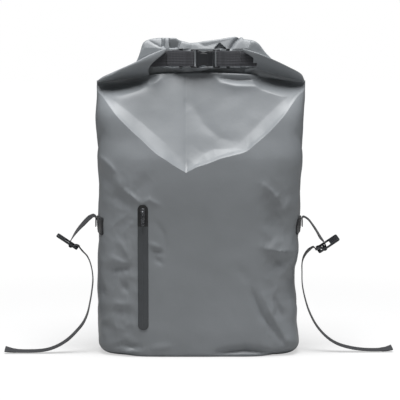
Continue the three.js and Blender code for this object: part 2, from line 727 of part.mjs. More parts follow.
// The puller: a frame round the arch and a plate that hangs from it
function zipPullGeometry() {
  const half = pullWidth / 2;
  const bar = pullThickness / 2;
  const window = archWidth / 2 + pinClearance;
  const top = pinHeight + bar;
  const low = top - pullLength;
  const tip = half * 0.5;
  const side = half * 0.8;
  const taper = [[-side, low + 1.5], [-tip, low], [tip, low], [side, low + 1.5]];
  const outline = [[-half, top], ...taper, [half, top]];
  const hole = [[-window, pinHeight - bar], [window, pinHeight - bar],
    [window, pinHeight - archLength / 2 - 1], [-window, pinHeight - archLength / 2 - 1]];
  const shift = ([x, z]) => [x - zipFromMiddle, z];
  return prism(outline.map(shift), pinFront - bar, pinFront + bar, [hole.map(shift)]);
}

// The closure: webbing from each arm's end, round the buckle's bar and back over itself
const closureMiddle = shoulderHeight + closureAboveShoulder;
const closureLow = closureMiddle - closureWebbing / 2;
const closureTop = closureMiddle + closureWebbing / 2;
const buckleLeft = -buckleFromMiddle;
const buckleRight = buckleLeft + buckleLength;
const femaleBar = buckleLeft - femaleWall - buckleSlot - buckleBar / 2;
const maleBar = buckleRight + maleWall + buckleSlot + buckleBar / 2;
const layerStep = closureWebbingThickness + seamGap;
const barDepth = -closureFront + buckleThickness / 2 - 3.4;
const slotSpare = 0.5;
const turnRadius = Math.hypot(buckleBar, buckleBarDepth) / 2 + seamGap + closureWebbingThickness / 2;

function closureWebbingGeometry(side, bar, panelEnd, ends) {
  const y = barDepth;
  const radius = turnRadius;
  const inwards = -side;
  const stops = [{ x: side * halfWidth, y: y + radius, z: closureMiddle }];
  stops.push({ x: bar, y: y + radius, z: closureMiddle });
  for (let k = 1; k <= 5; k += 1) {
    const turn = (Math.PI * k) / 6;
    const x = bar + inwards * radius * Math.sin(turn);
    stops.push({ x, y: y + radius * Math.cos(turn), z: closureMiddle });
  }
  stops.push({ x: bar, y: y - radius, z: closureMiddle });
  const lie = y + radius - layerStep;
  stops.push({ x: bar - inwards * 8, y: lie, z: closureMiddle }, { x: panelEnd, y: lie, z: closureMiddle });
  const upright = stops.map((stop) => ({ ...stop, wx: 0, wy: 0, wz: 1 }));
  const strip = ribbon(upright, closureWebbing, closureWebbingThickness);
  const edge = ends.map(({ across, up }) => (
    [across * halfWidth - side * seamGap, shoulderHeight + up * rollHeight]
  ));
  const reach = side * (halfWidth + 5);
  const outline = [[edge[0][0], edge[0][1] + rollHeight], ...edge, [reach, edge[edge.length - 1][1]],
    [reach, edge[0][1] + rollHeight]];
  const cut = prism(side < 0 ? outline.reverse() : outline, -2 * armThickness, armThickness);
  return geometryFrom(solidOf(strip).subtract(solidOf(cut)));
}

// A rectangle with round corners, and where wanted a shallow notch in its low and top edges
function roundedOutline(left, right, low, top, corner, notch) {
  const points = [];
  const bend = (x, z, from) => {
    for (let k = 0; k <= 3; k += 1) {
      const turn = from + (Math.PI / 2) * (k / 3);
      points.push([x + corner * Math.cos(turn), z + corner * Math.sin(turn)]);
    }
  };
  const dip = (z, into, steps) => steps.forEach((t) => {
    points.push([mix(notch.from, notch.to, t), z + into * notch.depth * 4 * t * (1 - t)]);
  });
  bend(left + corner, low + corner, Math.PI);
  if (notch) dip(low, 1, [0, 0.25, 0.5, 0.75, 1]);
  bend(right - corner, low + corner, 1.5 * Math.PI);
  bend(right - corner, top - corner, 0);
  if (notch) dip(top, -1, [1, 0.75, 0.5, 0.25, 0]);
  bend(left + corner, top - corner, 0.5 * Math.PI);
  return points;
}

const slotOutline = (left, right, low, top) => [[left, low], [left, top], [right, top], [right, low]];
const barSlot = (left, right) => slotOutline(left, right, closureLow - slotSpare, closureTop + slotSpare);

// The flat frame of either half, which holds the bar
function barFrame(left, right, slot) {
  const outline = roundedOutline(left, right, closureLow - slotSpare - frameRail,
    closureTop + slotSpare + frameRail, 1.2);
  return solidOf(prism(outline, barDepth - buckleBarDepth / 2, barDepth + buckleBarDepth / 2, [slot]));
}

// The receiving half: thick body with notched edges, and the frame that the left webbing turns round
function buckleFemaleGeometry() {
  const notch = { from: buckleLeft + 5, to: buckleLeft + 15, depth: 1.6 };
  const near = -closureFront - buckleThickness / 2;
  const block = roundedOutline(buckleLeft, buckleRight - seamGap, closureLow, closureTop, 1.6, notch);
  const body = solidOf(prism(block, near, near + buckleThickness));
  const slot = barSlot(femaleBar + buckleBar / 2, buckleLeft - femaleWall);
  return geometryFrom(body.add(barFrame(femaleBar - buckleBar / 2, buckleLeft + 3, slot)));
}

// The plugged half: what stands out of the body, and the frame that the right webbing turns round
function buckleMaleGeometry() {
  const slot = barSlot(buckleRight + maleWall, maleBar - buckleBar / 2);
  const plate = barFrame(buckleRight, maleBar + buckleBar / 2, slot);
  const block = roundedOutline(buckleRight, buckleRight + maleWall, closureLow + 1, closureTop - 1, 0.8);
  return geometryFrom(plate.add(solidOf(prism(block, 1 - closureFront - buckleThickness / 2, barDepth))));
}

// A keeper behind the webbing, whose ends stand out above and below it
function keeperGeometry(x) {
  const near = barDepth + turnRadius + closureWebbingThickness / 2 + seamGap;
  const outline = roundedOutline(x - keeperWidth / 2, x + keeperWidth / 2, closureLow - keeperReach,
    closureTop + keeperReach, 1);
  return prism(outline, near, near + keeperThickness);
}

// The side patches
function sidePatchGeometry(side) {
  const place = (across, up, layer) => {
    const y = -patchFromMiddle - (side * across * patchWidth) / -2;
    const z = patchTop - patchHeight / 2 + (up * patchHeight) / 2;
    return [seatSide(side, y, z) + side * (seamGap + layer * cloth), y, z];
  };
  return patch(place, 8, 3);
}

const patchFace = (side) => {
  let reach = 0;
  for (const y of [-1, 0, 1]) {
    for (const z of [0, 0.5, 1]) {
      const seat = seatSide(side, -strapFromMiddle + (y * sideWebbing) / 2, patchTop - z * patchHeight);
      reach = Math.max(reach, Math.abs(seat));
    }
  }
  return reach + 2 * seamGap + cloth + sideWebbingThickness / 2;
};

// The side buckle lies along a line that rises away from the body; its bar is the strap's turning point
const buckleTilt = THREE.MathUtils.degToRad(34);
function buckleFrame(side) {
  const tailRows = side < 0 ? leftTailRows : rightTailRows;
  const reach = side < 0 ? strapReachLeft : strapReachRight;
  const face = patchFace(side);
  const x = side * mix(face, reach, tailRows[0].out);
  const z = tailRows[0].up * patchTop;
  return {
    x, z, y: -strapFromMiddle - 4,
    point: (along, high) => [
      x + side * (along * Math.cos(buckleTilt) - high * Math.sin(buckleTilt)),
      z + along * Math.sin(buckleTilt) + high * Math.cos(buckleTilt),
    ],
  };
}

function routeStops(rows, side, fromY, toY) {
  const face = patchFace(side);
  const reach = side < 0 ? strapReachLeft : strapReachRight;
  return rows.map((row, i) => ({
    x: side * mix(face, reach, row.out),
    y: mix(fromY, toY, i / (rows.length - 1)),
    z: row.up * patchTop,
    turn: side * row.turn,
  }));
}

// One strap: up the patch, over and out to the buckle, round its bar, and along to the free end
function sideStrapGeometry(side) {
  const frame = buckleFrame(side);
  const radius = sideBuckleBar / 2 + seamGap + 0.3 + sideWebbingThickness / 2;
  const out = routeStops(side < 0 ? leftStrapRows : rightStrapRows, side, -strapFromMiddle, frame.y);
  const turnStops = [[radius + 0.2, 6], [radius + 0.2, 1.5], [radius * 0.75, -radius], [0, -radius * 1.35],
    [-radius * 0.8, -radius], [-radius - 0.5, 0.8], [-radius - 3.2, 3.2], [-radius - 8.5, 4.4]];
  const round = turnStops.map(([along, high]) => {
    const [x, z] = frame.point(along, high);
    return { x, y: frame.y, z, turn: 0 };
  });
  const tail = routeStops(side < 0 ? leftTailRows : rightTailRows, side, frame.y, -strapBackAtTail).slice(3);
  const there = smoothStops([...out, round[0]], 16);
  const back = smoothStops([round.at(-1), ...tail], 34);
  return ribbon([...there, ...round.slice(1, -1), ...back], sideWebbing, sideWebbingThickness);
}

// Ladder buckle: a plate with two slots, the strap's bar between them
function sideBuckleGeometry(side) {
  const frame = buckleFrame(side);
  const near = -sideBuckleBar / 2 - 9.4;
  const far = near + sideBuckleLength;
  const half = sideWebbing / 2 + 3;
  const slot = sideWebbing / 2 + 0.6;
  const turned = (outline) => (side < 0 ? outline.map(([x, y]) => [-x, y]).reverse() : outline);
  const holes = [slotOutline(near + 2.6, -sideBuckleBar / 2, -slot, slot),
    slotOutline(sideBuckleBar / 2, sideBuckleBar / 2 + 9, -slot - 0.4, slot + 0.4)];
  const geometry = prism(turned(roundedOutline(near, far, -half, half, 3)), -sideBuckleThickness / 2,
    sideBuckleThickness / 2, holes.map(turned));
  geometry.rotateX(Math.PI / 2);
  geometry.rotateY(-side * buckleTilt);
  geometry.translate(frame.x, frame.y, frame.z);
  return geometry;
}

// The yoke on the back that carries the pads and the grab loop
const yokeMiddle = shoulderHeight - yokeBelowShoulder;
function backPatchGeometry(middleX, middleZ, width, height, acrossSteps, upSteps) {
  const place = (across, up, layer) => {
    const x = middleX - (across * width) / 2;
    const z = middleZ + (up * height) / 2;
    return [x, seatBack(x, z) + seamGap + layer * cloth, z];
  };
  return patch(place, acrossSteps, upSteps);
}

const yokeFace = (x, z) => seatBack(x, z) + 2 * seamGap + cloth;

// Stops of one pad, from the yoke down: its splay, its way down and how far it stands off, as shares
const padRows = [
  { splay: 0.34, down: 0.36, off: 0.98 },
  { splay: 0.57, down: 0.62, off: 1.00 },
  { splay: 0.86, down: 0.85, off: 0.86 },
  { splay: 1.00, down: 1.00, off: 0.76 },
];
function padStops(side) {
  const top = yokeMiddle - 6;
  const start = yokeFace(padSpread, top) + padThickness / 2 + 1.5;
  const rest = seatBack(padSpread, padEndHeight);
  const hang = padRows.map(({ splay, down, off }) => ({
    x: side * (padSpread + splay * padSplay),
    y: rest + off * padStandOff,
    z: mix(top, padEndHeight, down),
  }));
  const first = { x: side * padSpread, y: start, z: top };
  const lean = { y: start + 0.42 * padStandOff, z: mix(top, padEndHeight, 0.11) };
  return [first, { x: side * (padSpread + 0.11 * padSplay), ...lean }, ...hang];
}

function padGeometry(side) {
  const stops = smoothStops(padStops(side), 16);
  const rings = stops.map((stop, i) => {
    const before = stops[Math.max(0, i - 1)];
    const after = stops[Math.min(stops.length - 1, i + 1)];
    const way = new THREE.Vector3(after.x - before.x, after.y - before.y, after.z - before.z).normalize();
    const across = new THREE.Vector3(1, 0, 0).addScaledVector(way, -way.x).normalize();
    const out = new THREE.Vector3().crossVectors(way, across);
    const share = i / (stops.length - 1);
    const end = Math.min(1, 0.5 + 6 * share, 0.5 + 6 * (1 - share));
    const width = padWidth * mix(0.86, 1, Math.sin(Math.PI * share)) * Math.min(1, 0.72 + 4 * (1 - share));
    const thick = padThickness * end;
    const ring = [];
    for (let k = 0; k < 10; k += 1) {
      const turn = (2 * Math.PI * k) / 10;
      const share2 = squareToRound(Math.cos(turn), Math.sin(turn), 3);
      const point = new THREE.Vector3(stop.x, stop.y, stop.z);
      point.addScaledVector(across, (Math.cos(turn) * share2 * width) / 2);
      point.addScaledVector(out, (Math.sin(turn) * share2 * thick) / 2);
      ring.push(point.toArray());
    }
    return ring;
  });
  return loft(rings);
}

// The adjuster under the pad: a ladder plate whose upper edge meets the pad's end
function adjusterPlace(side) {
  const end = padStops(side).at(-1);
  return { x: end.x + side * 2, y: end.y - 1.5, z: end.z - adjusterHeight / 2 - adjusterGap };
}

function adjusterGeometry(side) {
  const at = adjusterPlace(side);
  const half = carryWebbing / 2 + 4;
  const slot = carryWebbing / 2 + 0.8;
  const rib = adjusterHeight / 14;
  const holes = [slotOutline(at.x - slot, at.x + slot, at.z + rib, at.z + rib + adjusterSlot),
    slotOutline(at.x - slot, at.x + slot, at.z - rib - adjusterSlot, at.z - rib)];
  const reach = adjusterHeight / 2;
  const plate = roundedOutline(at.x - half, at.x + half, at.z - reach, at.z + reach, 3);
  return prism(plate, at.y - adjusterThickness / 2, at.y + adjusterThickness / 2, holes);
}

// The webbing from the adjuster down to the tab at the base
function lowerWebbingGeometry(side) {
  const at = adjusterPlace(side);
  const foot = side * anchorFromMiddle;
  const face = seatBack(foot, anchorHeight) + 2 * seamGap + cloth;
  const end = face + carryWebbingThickness / 2 + 0.5;
  const behind = at.y - adjusterThickness / 2 - carryWebbingThickness / 2 - 0.6;
  const stops = [
    { x: at.x, y: behind, z: at.z + adjusterHeight * 0.22 },
    { x: at.x, y: behind, z: at.z - adjusterHeight * 0.43 },
    { x: mix(at.x, foot, 0.4), y: mix(at.y, end, 0.32), z: mix(at.z, anchorHeight, 0.42) },
    { x: mix(at.x, foot, 0.85), y: mix(at.y, end, 0.86), z: mix(at.z, anchorHeight, 0.84) },
    { x: foot, y: end, z: anchorHeight },
    { x: side * (anchorFromMiddle + 1), y: end, z: anchorHeight - anchorSize * 0.3 },
  ].map((stop) => ({ ...stop, wx: 1, wy: 0, wz: 0 }));
  return ribbon(smoothStops(stops, 14), carryWebbing, carryWebbingThickness);
}

function grabLoopGeometry() {
  const z = yokeMiddle + 2;
  const top = z + grabWidth / 2;
  const low = z - grabWidth / 2;
  const stops = [-1, -0.8, -0.6, -0.3, 0, 0.3, 0.6, 0.8, 1].map((share) => {
    const x = (share * grabSpan) / 2;
    const rise = Math.abs(share) < 0.8 ? Math.cos((share * Math.PI) / 1.6) : 0;
    const slope = yokeFace(x, top) - yokeFace(x, low);
    const face = yokeFace(x, low) + slope / 2 + carryWebbingThickness / 2 + 1.5;
    return { x, y: face + grabRise * rise, z, wx: 0, wy: slope, wz: grabWidth };
  });
  return ribbon(smoothStops(stops, 16), grabWidth, carryWebbingThickness);
}

// The whole backpack
const backpack = new THREE.Group();
function addPiece(name, geometry, material) {
  const mesh = new THREE.Mesh(geometry, material);
  mesh.name = name;
  backpack.add(mesh);
}

addPiece('bag_shell', shellForm, coatedCloth);
addPiece('rolled_mouth', rolledMouthGeometry(), coatedCloth);
const leftWebbing = closureWebbingGeometry(-1, femaleBar, -leftArmReach, leftArmEnd);
const rightWebbing = closureWebbingGeometry(1, maleBar, rightArmReach, rightArmEnd);
addPiece('closure_webbing_left', leftWebbing, webbingCloth);
addPiece('closure_webbing_right', rightWebbing, webbingCloth);
addPiece('closure_buckle_female', buckleFemaleGeometry(), blackPlastic);
addPiece('closure_buckle_male', buckleMaleGeometry(), blackPlastic);
addPiece('keeper_left', keeperGeometry(femaleBar - keeperFromFemaleBar), blackPlastic);
addPiece('keeper_right', keeperGeometry(maleBar + keeperFromMaleBar), blackPlastic);
addPiece('zip_tape', zipTapeGeometry(), zipStrip);
addPiece('zip_slider', zipSliderGeometry(), sliderMetal);
addPiece('zip_pull', zipPullGeometry(), sliderMetal);
addPiece('strap_yoke', backPatchGeometry(0, yokeMiddle, yokeWidth, yokeHeight, 12, 4), webbingCloth);
addPiece('grab_loop', grabLoopGeometry(), webbingCloth);
for (const [side, word] of [[-1, 'left'], [1, 'right']]) {
  addPiece(`side_patch_${word}`, sidePatchGeometry(side), webbingCloth);
  addPiece(`side_strap_${word}`, sideStrapGeometry(side), webbingCloth);
  addPiece(`side_buckle_${word}`, sideBuckleGeometry(side), blackPlastic);
  addPiece(`shoulder_strap_${word}`, padGeometry(side), paddedCloth);
  addPiece(`adjuster_${word}`, adjusterGeometry(side), blackPlastic);
  addPiece(`lower_webbing_${word}`, lowerWebbingGeometry(side), webbingCloth);
  addPiece(`strap_anchor_${word}`,
    backPatchGeometry(side * anchorFromMiddle, anchorHeight, anchorSize, anchorSize, 6, 3), webbingCloth);
}

export default backpack;
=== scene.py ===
import math

import bmesh
import bpy
import numpy as np
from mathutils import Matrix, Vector, geometry, noise
from mathutils.bvhtree import BVHTree


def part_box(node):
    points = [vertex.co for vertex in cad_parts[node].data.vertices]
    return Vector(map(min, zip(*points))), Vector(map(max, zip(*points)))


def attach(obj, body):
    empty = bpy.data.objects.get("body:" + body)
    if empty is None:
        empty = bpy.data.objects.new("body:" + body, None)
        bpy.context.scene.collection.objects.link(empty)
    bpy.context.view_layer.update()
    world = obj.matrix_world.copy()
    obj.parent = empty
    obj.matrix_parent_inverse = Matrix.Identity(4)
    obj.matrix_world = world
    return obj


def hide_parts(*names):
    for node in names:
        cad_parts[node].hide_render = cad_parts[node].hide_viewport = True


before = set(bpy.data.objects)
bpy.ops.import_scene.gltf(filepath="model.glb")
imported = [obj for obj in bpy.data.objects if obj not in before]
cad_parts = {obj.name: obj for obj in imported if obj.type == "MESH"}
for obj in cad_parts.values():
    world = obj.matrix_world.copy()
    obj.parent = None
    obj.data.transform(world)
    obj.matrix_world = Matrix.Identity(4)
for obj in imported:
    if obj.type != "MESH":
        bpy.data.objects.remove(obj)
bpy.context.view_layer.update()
scene = bpy.context.scene
print("frame loaded:", len(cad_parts), "nodes")

mm = 0.001
seamGap = 0.35 * mm
handOf = {-1: "left", 1: "right"}


# Small helpers for numbers and tables

def table(columns, *rows):
    names = columns.split()
    return [dict(zip(names, row)) for row in rows]


def mix(a, b, t):
    return a + (b - a) * t


def smooth(t):
    t = np.clip(t, 0, 1)
    return t * t * (3 - 2 * t)


def lookUp(rows, by, column, at):  # a smooth curve through the column that doesn't overshoot
    rows = sorted(rows, key=lambda row: row[by])
    xs = np.array([row[by] for row in rows], float)
    ys = np.array([row[column] for row in rows], float)
    rise = np.diff(ys) / np.diff(xs)
    product = rise[:-1] * rise[1:]
    total = np.where(product > 0, rise[:-1] + rise[1:], 1)
    slope = np.concatenate([rise[:1], np.where(product > 0, 2 * product / total, 0), rise[-1:]])
    at = np.clip(at, xs[0], xs[-1])
    i = np.clip(np.searchsorted(xs, at, side="right") - 1, 0, len(xs) - 2)
    span = xs[i + 1] - xs[i]
    t = (at - xs[i]) / span
    start = ys[i] * (1 + 2 * t) * (1 - t) ** 2 + slope[i] * span * t * (1 - t) ** 2
    return start + ys[i + 1] * t * t * (3 - 2 * t) + slope[i + 1] * span * t * t * (t - 1)


def sampled(at, places, rows):  # rows of numbers that belong to places, read off in between
    return np.stack([np.interp(at, places, column) for column in np.array(rows).T], -1)


def lengthsAlong(line):
    return np.concatenate([[0], np.cumsum(np.linalg.norm(np.diff(line, axis=0), axis=1))])


def unitRows(rows):
    return rows / np.linalg.norm(rows, axis=1)[:, None]


def smoothRoute(stops, steps):  # centripetal curve through the stops, at even shares of their number
    stops = np.array(stops, float)
    points = np.vstack([2 * stops[0] - stops[1], stops, 2 * stops[-1] - stops[-2]])
    route = []
    for k in range(steps + 1):
        share = k / steps * (len(stops) - 1)
        i = min(int(share), len(stops) - 2)
        t = share - i
        a, b, c, d = points[i:i + 4]
        ab, bc, cd = (max(np.linalg.norm(q - p), 1e-9) ** 0.5 for p, q in ((a, b), (b, c), (c, d)))
        out = ((b - a) / ab - (c - a) / (ab + bc) + (c - b) / bc) * bc
        into = ((c - b) / bc - (d - b) / (bc + cd) + (d - c) / cd) * bc
        square, cube = 3 * (c - b) - 2 * out - into, 2 * (b - c) + out + into
        route.append(b + out * t + square * t * t + cube * t ** 3)
    return np.array(route)


def cloud(points, size, seed):  # soft bumps, about -0.5 to 0.5
    return np.array([noise.noise(Vector((p[0] / size + seed, p[1] / size, p[2] / size))) for p in points])


# The camera stands where the photo was taken from

photo = {
    "elevation": 5.0,
    "distance": 2.4,
    "aimHeight": 0.224,
    "focal": 1593.0,
    "side": 400,
    "middleX": 200.5,
    "middleY": 201.6,
}


def cameraTilt():
    tilt = math.radians(photo["elevation"])
    return math.cos(tilt), math.sin(tilt)


def cameraPlace():
    c, s = cameraTilt()
    return Vector((0, -photo["distance"] * c, photo["aimHeight"] + photo["distance"] * s))


def photoPlace(points):  # where points of the frame lie in the photo, in its pixels
    c, s = cameraTilt()
    away = points - np.array(cameraPlace())
    depth = away[..., 1] * c - away[..., 2] * s
    high = away[..., 1] * s + away[..., 2] * c
    return (photo["middleX"] + photo["focal"] * away[..., 0] / depth,
            photo["middleY"] - photo["focal"] * high / depth)


def placeOf(px, py, y):  # x and z of the point that a pixel shows, at the depth y
    c, s = cameraTilt()
    eye = cameraPlace()
    k = (photo["middleY"] - py) / photo["focal"]
    dy = y - eye.y
    dz = (k * dy * c - dy * s) / (c + k * s)
    depth = dy * c - dz * s
    return (px - photo["middleX"]) / photo["focal"] * depth, eye.z + dz


def makeCamera():
    data = bpy.data.cameras.new("camera")
    data.sensor_width = 36.0
    data.lens = photo["focal"] / photo["side"] * data.sensor_width
    data.shift_x = (photo["side"] / 2 - photo["middleX"]) / photo["side"]
    data.shift_y = (photo["middleY"] - photo["side"] / 2) / photo["side"]
    camera = bpy.data.objects.new("camera", data)
    camera.location = cameraPlace()
    camera.rotation_euler = (math.radians(90 - photo["elevation"]), 0, 0)
    scene.collection.objects.link(camera)
    scene.camera = camera


makeCamera()


# Shader maths as Python expressions

class Wire:
    def __init__(self, finish, socket):
        self.finish, self.socket = finish, socket

    def sum(self, operation, *others):
        values = {i: v for i, v in enumerate((self, *others))}
        return self.finish.node("ShaderNodeMath", {"operation": operation}, values)

    def __add__(self, other):
        return self.sum("ADD", other)

    def __mul__(self, other):
        return self.sum("MULTIPLY", other)

    def __sub__(self, other):
        return self.sum("SUBTRACT", other)

    def __rsub__(self, other):
        return self.finish.asWire(other).sum("SUBTRACT", self)

    def __pow__(self, other):
        return self.sum("POWER", other)

    __radd__, __rmul__ = __add__, __mul__


class Finish:
    def __init__(self, name):
        self.material = bpy.data.materials.new(name)
        self.material.use_nodes = True
        self.tree = self.material.node_tree
        self.tree.nodes.clear()
        self.end = self.tree.nodes.new("ShaderNodeOutputMaterial")

    def asWire(self, number):
        if isinstance(number, Wire):
            return number
        return self.node("ShaderNodeMath", {"operation": "ADD"}, {0: number, 1: 0.0})

    def node(self, kind, settings=None, values=None, out=0):
        made = self.tree.nodes.new(kind)
        for key, value in (settings or {}).items():
            setattr(made, key, value)
        for key, value in (values or {}).items():
            if isinstance(value, Wire):
                self.tree.links.new(value.socket, made.inputs[key])
            else:
                made.inputs[key].default_value = value
        return Wire(self, made.outputs[out])

    def blend(self, factor, first, second):
        values = {0: factor, 6: first, 7: second}
        return self.node("ShaderNodeMix", {"data_type": "RGBA"}, values, out=2)

    def objectPlace(self):
        return self.node("ShaderNodeTexCoord", out="Object")

    def flatPlace(self):  # metres along and across a strap
        return self.node("ShaderNodeUVMap", {"uv_map": "strapMap"})

    def bands(self, way, place, pitch, **more):
        settings = {"wave_type": "BANDS", "bands_direction": way}
        values = {"Vector": place, "Scale": 1 / pitch / 6.28, **more}
        return self.node("ShaderNodeTexWave", settings, values, out="Fac")

    def ramp(self, value, begin, end, low=0.0, kind="LINEAR"):
        values = {"Value": value, "From Min": begin, "From Max": end, "To Min": low}
        return self.node("ShaderNodeMapRange", {"interpolation_type": kind}, values)

    def noise(self, place, scale, detail=2.0, roughness=0.5):
        values = {"Vector": place, "Scale": scale, "Detail": detail, "Roughness": roughness}
        return self.node("ShaderNodeTexNoise", None, values)

    def bump(self, height, strength, distance, under=None):
        values = {"Height": height, "Strength": strength, "Distance": distance}
        if under:
            values["Normal"] = under
        return self.node("ShaderNodeBump", None, values)

    def shade(self, **values):
        named = {key.replace("_", " "): value for key, value in values.items()}
        shader = self.node("ShaderNodeBsdfPrincipled", None, named)
        self.tree.links.new(shader.socket, self.end.inputs["Surface"])
        return self.material


def colour(red, green, blue):  # screen values from 0 to 255
    linear = [((c / 255 + 0.055) / 1.055) ** 2.4 if c > 10 else c / 255 / 12.92 for c in (red, green, blue)]
    return (*linear, 1.0)


looks = {  # the darkest and the lightest colour of each finish
    "coatedCloth": (colour(121, 125, 128), colour(133, 137, 141)),
    "closureWebbing": (colour(40, 41, 45), colour(72, 73, 78)),
    "sideWebbing": (colour(30, 31, 34), colour(52, 53, 57)),
    "patchWebbing": (colour(24, 25, 28), colour(44, 45, 48)),
    "mouldedPlastic": (colour(28, 30, 33), colour(40, 42, 46)),
    "zipCoating": (colour(58, 61, 64), colour(68, 71, 74)),
    # the lightest black metal is partly real wear and partly painted glints that stand in for highlights
    "blackMetal": (colour(46, 47, 50), colour(150, 152, 156)),
    "paddedCloth": (colour(38, 40, 43), colour(66, 69, 73)),
    "sewingThread": (colour(44, 45, 48), colour(78, 80, 84)),
}


def coatedCloth():
    finish = Finish("coatedCloth")
    place = finish.objectPlace()
    drift = finish.noise(place, 7.0, 4.0, 0.55)
    speckle = finish.noise(place, 900.0, 2.0)
    threads = [finish.bands(way, place, 1 / 1500.0, Distortion=0.6) for way in ("X", "Z")]
    weave = finish.bump(threads[0] * threads[1] + speckle * 0.5, 0.10, 0.12 * mm)
    crumple = finish.bump(finish.noise(place, 34.0, 4.0, 0.6), 0.16, 3.0 * mm, weave)
    scuff = finish.ramp(drift, 0.35, 0.65)
    base = finish.blend(scuff * 0.7 + speckle * 0.3, *looks["coatedCloth"])
    return finish.shade(Base_Color=base, Roughness=drift * 0.14 + 0.36, Normal=crumple)


def wovenStrap(name, pick, ribPitch):
    finish = Finish(name)
    place = finish.flatPlace()
    picks = finish.bands("X", place, pick, Distortion=1.4, Detail=2.0)
    ribs = finish.bands("Y", place, ribPitch, Distortion=0.4)
    fuzz = finish.noise(place, 1400.0, 3.0)
    height = picks * 0.55 + ribs * 0.45 + fuzz * 0.35
    base = finish.blend(height * 0.7, *looks[name])
    return finish.shade(Base_Color=base, Roughness=fuzz * 0.2 + 0.62,
                        Normal=finish.bump(height, 0.5, 0.25 * mm), Sheen_Weight=0.15)


def mouldedPlastic():
    finish = Finish("mouldedPlastic")
    place = finish.objectPlace()
    grain = finish.noise(place, 2600.0, 2.0)
    drift = finish.noise(place, 60.0, 3.0)
    base = finish.blend(drift, *looks["mouldedPlastic"])
    return finish.shade(Base_Color=base, Roughness=grain * 0.16 + 0.30,
                        Normal=finish.bump(grain, 0.16, 0.08 * mm))


def zipCoating():
    finish = Finish("zipCoating")
    place = finish.objectPlace()
    grain = finish.noise(place, 1700.0, 3.0)
    drift = finish.noise(place, 26.0, 3.0)
    high = finish.node("ShaderNodeSeparateXYZ", None, {0: place}, out="Z")
    garage = finish.ramp(high, 193.6 * mm, 194.4 * mm)  # the dark end that the slider parks in
    base = finish.blend(garage, finish.blend(drift, *looks["zipCoating"]), colour(19, 20, 22))
    return finish.shade(Base_Color=base, Roughness=drift * 0.12 + 0.40,
                        Normal=finish.bump(grain, 0.14, 0.1 * mm))


def blackMetal():
    finish = Finish("blackMetal")
    place = finish.objectPlace()
    wearAndGlint = finish.noise(place, 420.0, 4.0, 0.7)
    # lighter metal spots from the noise: partly wear, partly painted glints
    base = finish.blend(wearAndGlint ** 2.0, *looks["blackMetal"])
    return finish.shade(Base_Color=base, Metallic=0.8, Roughness=wearAndGlint * 0.2 + 0.18)


def paddedCloth():
    finish = Finish("paddedCloth")
    place = finish.objectPlace()
    cells = finish.node("ShaderNodeTexVoronoi", {"feature": "F1"}, {"Vector": place, "Scale": 620.0})
    drift = finish.noise(place, 40.0, 3.0)
    base = finish.blend(cells * 0.6 + drift * 0.4, *looks["paddedCloth"])
    return finish.shade(Base_Color=base, Roughness=drift * 0.1 + 0.78,
                        Normal=finish.bump(cells, 0.45, 0.5 * mm), Sheen_Weight=0.2)


def sewingThread():
    finish = Finish("sewingThread")
    twist = finish.noise(finish.objectPlace(), 2200.0, 2.0)
    base = finish.blend(twist, *looks["sewingThread"])
    return finish.shade(Base_Color=base, Roughness=twist * 0.2 + 0.6)


finishes = {
    "cloth": coatedCloth(),
    "closureWebbing": wovenStrap("closureWebbing", 1.1 * mm, 2.2 * mm),
    "sideWebbing": wovenStrap("sideWebbing", 0.9 * mm, 1.8 * mm),
    "patch": wovenStrap("patchWebbing", 0.9 * mm, 1.8 * mm),
    "plastic": mouldedPlastic(),
    "zip": zipCoating(),
    "metal": blackMetal(),
    "padding": paddedCloth(),
    "thread": sewingThread(),
}
print("materials made:", len(finishes))


# Meshes from points

def linked(name, data):
    made = bpy.data.objects.new(name, data)
    scene.collection.objects.link(made)
    return made


def makeObject(name, points, faces, flat=None):
    mesh = bpy.data.meshes.new(name)
    mesh.from_pydata([tuple(p) for p in points], [], [tuple(int(i) for i in f) for f in faces])
    if flat is not None:
        layer = mesh.uv_layers.new(name="strapMap")
        corners = np.zeros(len(mesh.loops), int)
        mesh.loops.foreach_get("vertex_index", corners)
        layer.data.foreach_set("uv", np.asarray(flat, float)[corners].ravel())
    mesh.shade_smooth()
    mesh.update()
    return linked(name, mesh)


def vectorsOf(rows, key):
    flat = np.zeros(len(rows) * 3)
    rows.foreach_get(key, flat)
    return flat.reshape(-1, 3)


def pointsOf(piece):
    return vectorsOf(piece.data.vertices, "co")


def normalsOf(piece):
    return vectorsOf(piece.data.vertex_normals, "vector")


def movePoints(piece, points):
    piece.data.vertices.foreach_set("co", points.ravel())
    piece.data.update()


def evaluatedMesh(piece):
    return bpy.data.meshes.new_from_object(piece.evaluated_get(bpy.context.evaluated_depsgraph_get()))


def applied(piece):  # the piece with its modifiers made plain mesh
    mesh = evaluatedMesh(piece)
    piece.modifiers.clear()
    old = piece.data
    piece.data = mesh
    bpy.data.meshes.remove(old)
    return piece


def mergedOutwards(piece, distance=1e-6):  # doubles merged and faces turned outwards
    form = bmesh.new()
    form.from_mesh(piece.data)
    bmesh.ops.remove_doubles(form, verts=form.verts, dist=distance)
    bmesh.ops.dissolve_degenerate(form, edges=form.edges, dist=1e-7)
    bmesh.ops.recalc_face_normals(form, faces=form.faces)
    form.to_mesh(piece.data)
    form.free()
    return piece


def sharpEdges(piece, angle):
    piece.data.shade_smooth()
    piece.data.set_sharp_from_angle(angle=math.radians(angle))
    return piece


def rideAs(piece, finish, body, *nodes):
    piece.data.materials.clear()
    piece.data.materials.append(finishes[finish])
    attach(piece, body)
    if nodes:
        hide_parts(*nodes)
    return piece


def joinPieces(first, *others):
    with bpy.context.temp_override(active_object=first, selected_editable_objects=[first, *others]):
        bpy.ops.object.join()
    return first


